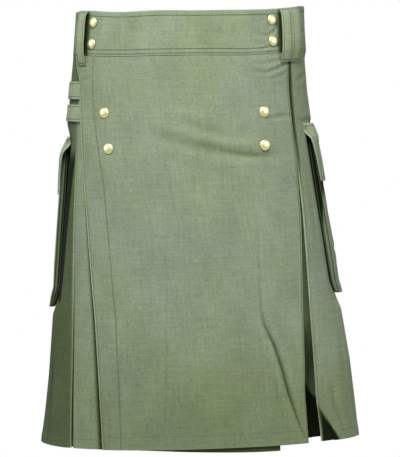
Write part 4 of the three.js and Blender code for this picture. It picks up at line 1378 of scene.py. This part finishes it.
# %% [markdown]
# ## Cargo pockets
#
# A pocket is a closed shell: up the outside, over the lip of the mouth and down the inside. Every row is
# a loop of the same shape: back, folded gusset, face, folded gusset. The last row of either skin is a
# seam where the back meets the face, so each point there is shared by both.

# %% A pouch from loops
POUCH_WIDTH = 150.0
POUCH_BACK = 1.8
MOUTH_HEM = 22
FLOOR_SEAM = 214
ACROSS = 60
GUSSET = 7
GUSSET_SHARES = np.linspace(0, 1, GUSSET + 2)[1:-1]
FACE_FROM = ACROSS + 1 + GUSSET
FACE_TO = FACE_FROM + ACROSS + 1


def pouch_loop(depth, inset, flat, swell):
    """Along and out of one loop: back, gusset in by 6 sin(pi t), face with a swell sin bulge, gusset."""
    t = GUSSET_SHARES
    reach = np.linspace(0, 1, ACROSS + 1)
    wide = POUCH_WIDTH - 2 * inset
    low = POUCH_BACK + inset
    high = POUCH_BACK + depth - inset
    middle = (low + high) / 2
    low, high = middle + (low - middle) * flat, middle + (high - middle) * flat
    fold_in = 6 * np.sin(np.pi * t)
    along = [inset + wide * reach, inset + wide - fold_in, inset + wide * reach[::-1], inset + fold_in]
    level = [low + 0 * reach, low + (high - low) * t, high + flat * swell * np.sin(np.pi * reach),
             high + (low - high) * t]
    return np.concatenate(along), np.concatenate(level)


def pouch_rows():
    """down, depth, inset and flatness of every loop: outer skin from the floor up, then the inner skin."""
    depth_at = table((0, 8.4), (30, 9.6), (90, 10), (160, 10.5), (205, 9.5), (POUCH_HEIGHT, 7.5))
    up = POUCH_HEIGHT * (1 - crowded(64, POUCH_HEIGHT, 0.8))
    down = np.linspace(0, 217.6, 26)
    floor_rows = [(POUCH_HEIGHT, 7.5, 0.0, 0.0), (POUCH_HEIGHT - 0.1, 7.5, 0.0, 0.5)]
    outer = [(v, float(depth_at(v)), 0.0, 1.0) for v in up]
    inner = [(v, float(depth_at(v)), 1.2, 1.0) for v in down] + [(217.8, 7.5, 1.2, 0.0)]
    return np.array(floor_rows + outer + inner)


def make_pouch(label, side, creases, seed):
    """Hollow cargo pocket on one hip, with a hemmed mouth and stitched edges."""
    top = POUCH_TOPS[label]
    table_rows = pouch_rows()
    swells = 1.5 * np.minimum(1, table_rows[:, 0] / 90)
    loops = [pouch_loop(*row[1:], swell) for row, swell in zip(table_rows, swells)]
    along = np.array([loop[0] for loop in loops])
    out = np.array([loop[1] for loop in loops])
    down = table_rows[:, :1]
    rows = np.broadcast_to(top + down, along.shape)
    turn = side * (pouch_start(down) + along / half_girth(rows, side))
    on_face = np.zeros(along.shape)
    on_face[:, FACE_FROM:FACE_TO] = 1
    on_face *= table_rows[:, 3:]
    crumple = sum(crease(np.abs(turn), rows, line, width) for line, width in creases)
    wave = 0.8 * waves(along, rows, 80, seed) + 0.3 * waves(along, rows, 34, seed + 1)
    out = out + on_face * (wave + crumple) * np.sin(np.pi * along / POUCH_WIDTH) ** 0.5
    points = place(turn, rows, out)
    count, size = along.shape
    index = np.arange(count * size).reshape(count, size)
    crest = ACROSS + (GUSSET + 1) // 2
    reflected = (2 * crest - np.arange(size)) % size
    shared = np.minimum(np.arange(size), reflected)
    index[0], index[-1] = shared, index[-1][shared]
    ring = np.concatenate([index, index[:, :1]], 1)
    quads = np.stack([ring[:-1, :-1], ring[:-1, 1:], ring[1:, 1:], ring[1:, :-1]], -1).reshape(-1, 4)
    quads = quads if side < 0 else quads[:, ::-1]
    used = np.unique(quads)
    renumber = np.zeros(count * size, int)
    renumber[used] = np.arange(len(used))
    edge = np.minimum(along, POUCH_WIDTH - along)
    outside = np.broadcast_to(table_rows[:, 2:3] == 0, along.shape)
    hide = np.where(outside & (on_face > 0), 0, FAR)
    seams = [rows - top - MOUTH_HEM + hide, edge - 3 + hide, rows - top - FLOOR_SEAM + hide,
             rows - top - 4 + hide]
    worn_and_painted_light = np.where(outside, np.exp(-((edge / 1.6) ** 2)) + np.exp(-((down / 1.6) ** 2)), 0)
    layers = {key: np.broadcast_to(gap, along.shape).ravel()[used] for key, gap in zip(SEAMS, seams)}
    layers["wear_and_painted_light"] = worn_and_painted_light.ravel()[used]
    to_face = np.full(size, 1.0)
    to_face[:ACROSS + 1] = 0
    to_face[ACROSS + 1:FACE_FROM] = GUSSET_SHARES
    to_face[FACE_TO:] = 1 - GUSSET_SHARES
    # Painted shade: the back of each pouch and the half of each gusset next to the hip are darkened as a
    # shadowed gap, on the right pouch the whole pouch near its mouth, and the inside skin all over.
    dark_share = 0.55 if side < 0 else 1.2 - 0.9 * ease(55, 140, down)
    hollow = 1 - ease(dark_share - 0.12, dark_share + 0.12, to_face)
    layers["painted_shade"] = np.where(outside, hollow, 0.7).ravel()[used]
    walk = np.arange(size) * (2 * POUCH_WIDTH + 24) / size
    uv = np.stack(np.broadcast_arrays(walk / 1000, -rows / 1000), -1).reshape(-1, 2)[used]
    piece = build_mesh(f"pocket_{label}_cloth", points.reshape(-1, 3)[used], renumber[quads], layers, uv)
    dress(piece, [f"pocket_{label}"], sage_drill)
    face = points[3:66, FACE_FROM:FACE_TO][::-1]
    face = face[:, ::-1] if side > 0 else face
    sew_pouch(face)


def sew_pouch(face):
    """Edge, hem and mouth stitches on the face of a pouch."""
    across = walked(face)
    down = walked(face.swapaxes(0, 1)).T
    for field in (across - 3, across - across[:, -1:] + 3):
        sew("pocket_stitches", seam_line(face, field, "down"), lift=0.12)
    for field in (down - MOUTH_HEM, down - FLOOR_SEAM):
        sew("pocket_stitches", seam_line(face, field, "across"), lift=0.12)


print("points in one pouch loop:", len(pouch_loop(9, 0, 1, 1)[0]))

# %% Both pouches
pocket_creases = [
    ([(0.45, 330, 0), (0.5, 350, 1.6), (0.56, 345, 0)], 5.0),
    ([(0.6, 300, 0), (0.62, 350, 1.2), (0.65, 400, 0.3)], 5.0),
]
make_pouch("left", -1, pocket_creases, 101)
make_pouch("right", 1, pocket_creases, 105)

# %% [markdown]
# ## Snap caps
#
# A cap is turned on a lathe: a rolled rim and a shallow dome. The profile is swept round in one outer
# product, (r cos a, r sin a, z), and both ends of it close on the axis.

# %% Snap caps
CAP_PROFILE = np.array([(0, 0), (7.35, 0), (7.55, 0.3), (7.55, 0.75), (7.3, 1.15), (6.8, 1.5), (6.1, 1.85),
                        (5, 2.3), (3.8, 2.7), (2.5, 3.0), (1.2, 3.15), (0, 3.2)])
CAP_STEPS = 40
SNAPS = {
    "band_left_upper": (-0.2925, 16, 1.3), "band_left_lower": (-0.294, 46, 1.3),
    "band_right_upper": (0.2775, 15.5, 1.3), "band_right_lower": (0.279, 45.5, 1.3),
    "apron_left_upper": (-0.229, 142, 0.6), "apron_left_lower": (-0.209, 192, 0.6),
    "apron_right_upper": (0.236, 144, 0.6), "apron_right_lower": (0.23, 191, 0.6),
}


def snap_cap(label, at, lean):
    """Brass cap on a lathe profile, its axis along the normal of the cloth and tipped a little."""
    turn, drop, out = at
    base = place(turn, drop, out + 0.75)
    axis = place(turn, drop, out + 1.75) - base
    axis = axis / np.linalg.norm(axis) + np.array([lean[0], 0, lean[1]])
    axis /= np.linalg.norm(axis)
    sideways = np.cross((0, 0, 1), axis)
    sideways /= np.linalg.norm(sideways)
    upward = np.cross(axis, sideways)
    angle = np.linspace(0, 2 * np.pi, CAP_STEPS, endpoint=False)
    spoke = np.cos(angle)[:, None] * sideways + np.sin(angle)[:, None] * upward
    radius, rise = CAP_PROFILE[1:-1].T / 1000
    summit = base + axis * CAP_PROFILE[-1, 1] / 1000
    rings = base + radius[:, None, None] * spoke + rise[:, None, None] * axis
    points = np.concatenate([rings.reshape(-1, 3), [base, summit]])
    count = len(radius)
    quads = grid_quads(count, CAP_STEPS, around=True)[:, ::-1]
    piece = build_mesh(f"snap_{label}_cap", points, quads)
    step = np.arange(CAP_STEPS)
    after = (step + 1) % CAP_STEPS
    base_tip = np.full(CAP_STEPS, count * CAP_STEPS)
    bottom = np.stack([after, step, base_tip], -1)
    last = (count - 1) * CAP_STEPS
    top = np.stack([last + step, last + after, base_tip + 1], -1)
    close_tips(piece, np.concatenate([bottom, top]))
    dress(piece, [f"snap_{label}"], brass)


leans = np.random.default_rng(7).uniform(-0.03, 0.03, (8, 2))
for (label, at), lean in zip(SNAPS.items(), leans):
    snap_cap(label, at, lean)

# %% All the stitches, one mesh for each group
seam_pieces = {group: finish_stitches(group) for group in stitch_parts}
print("stitches:", {group: sum(len(p) for p in parts) for group, parts in stitch_parts.items()})

# %% [markdown]
# ## Stage
#
# The floor is a pale square sheet below the kilt, which hangs above it where a wearer would hold it up.
# The sheet fades out all round, because its alpha falls with the distance from the middle, so it meets
# the white surroundings without an edge.

# %% Floor
FLOOR_LEVEL = -0.72
FLOOR_HALF_SIDE = 2.4
FADE_START = 0.25
FADE_END = 0.95
corner_steps = np.array([-FLOOR_HALF_SIDE, FLOOR_HALF_SIDE])
floor_x, floor_y = np.meshgrid(corner_steps, corner_steps[::-1])
floor_points = np.stack([floor_x, floor_y, np.full((2, 2), FLOOR_LEVEL)], -1).reshape(-1, 3)
floor = build_mesh("studio_floor", floor_points, grid_quads(2, 2))
paper = bpy.data.materials.new("pale_paper")
paper.use_nodes = True
paper_tree = paper.node_tree
paper_surface = paper_tree.nodes["Principled BSDF"]
paper_surface.inputs["Base Color"].default_value = (0.8, 0.8, 0.8, 1)
paper_surface.inputs["Roughness"].default_value = 0.9
place_on_floor = paper_tree.nodes.new("ShaderNodeTexCoord")
middle_away = paper_tree.nodes.new("ShaderNodeVectorMath")
middle_away.operation = "LENGTH"
flatten = paper_tree.nodes.new("ShaderNodeVectorMath")
flatten.operation = "MULTIPLY"
flatten.inputs[1].default_value = (1, 1, 0)
fade = paper_tree.nodes.new("ShaderNodeMapRange")
fade.interpolation_type = "SMOOTHSTEP"
fade.inputs["From Min"].default_value = FADE_START
fade.inputs["From Max"].default_value = FADE_END
fade.inputs["To Min"].default_value = 1.0
fade.inputs["To Max"].default_value = 0.0
paper_tree.links.new(place_on_floor.outputs["Object"], flatten.inputs[0])
paper_tree.links.new(flatten.outputs[0], middle_away.inputs[0])
paper_tree.links.new(middle_away.outputs["Value"], fade.inputs["Value"])
paper_tree.links.new(fade.outputs["Result"], paper_surface.inputs["Alpha"])
floor.data.materials.append(paper)
print("floor at", FLOOR_LEVEL, "m")
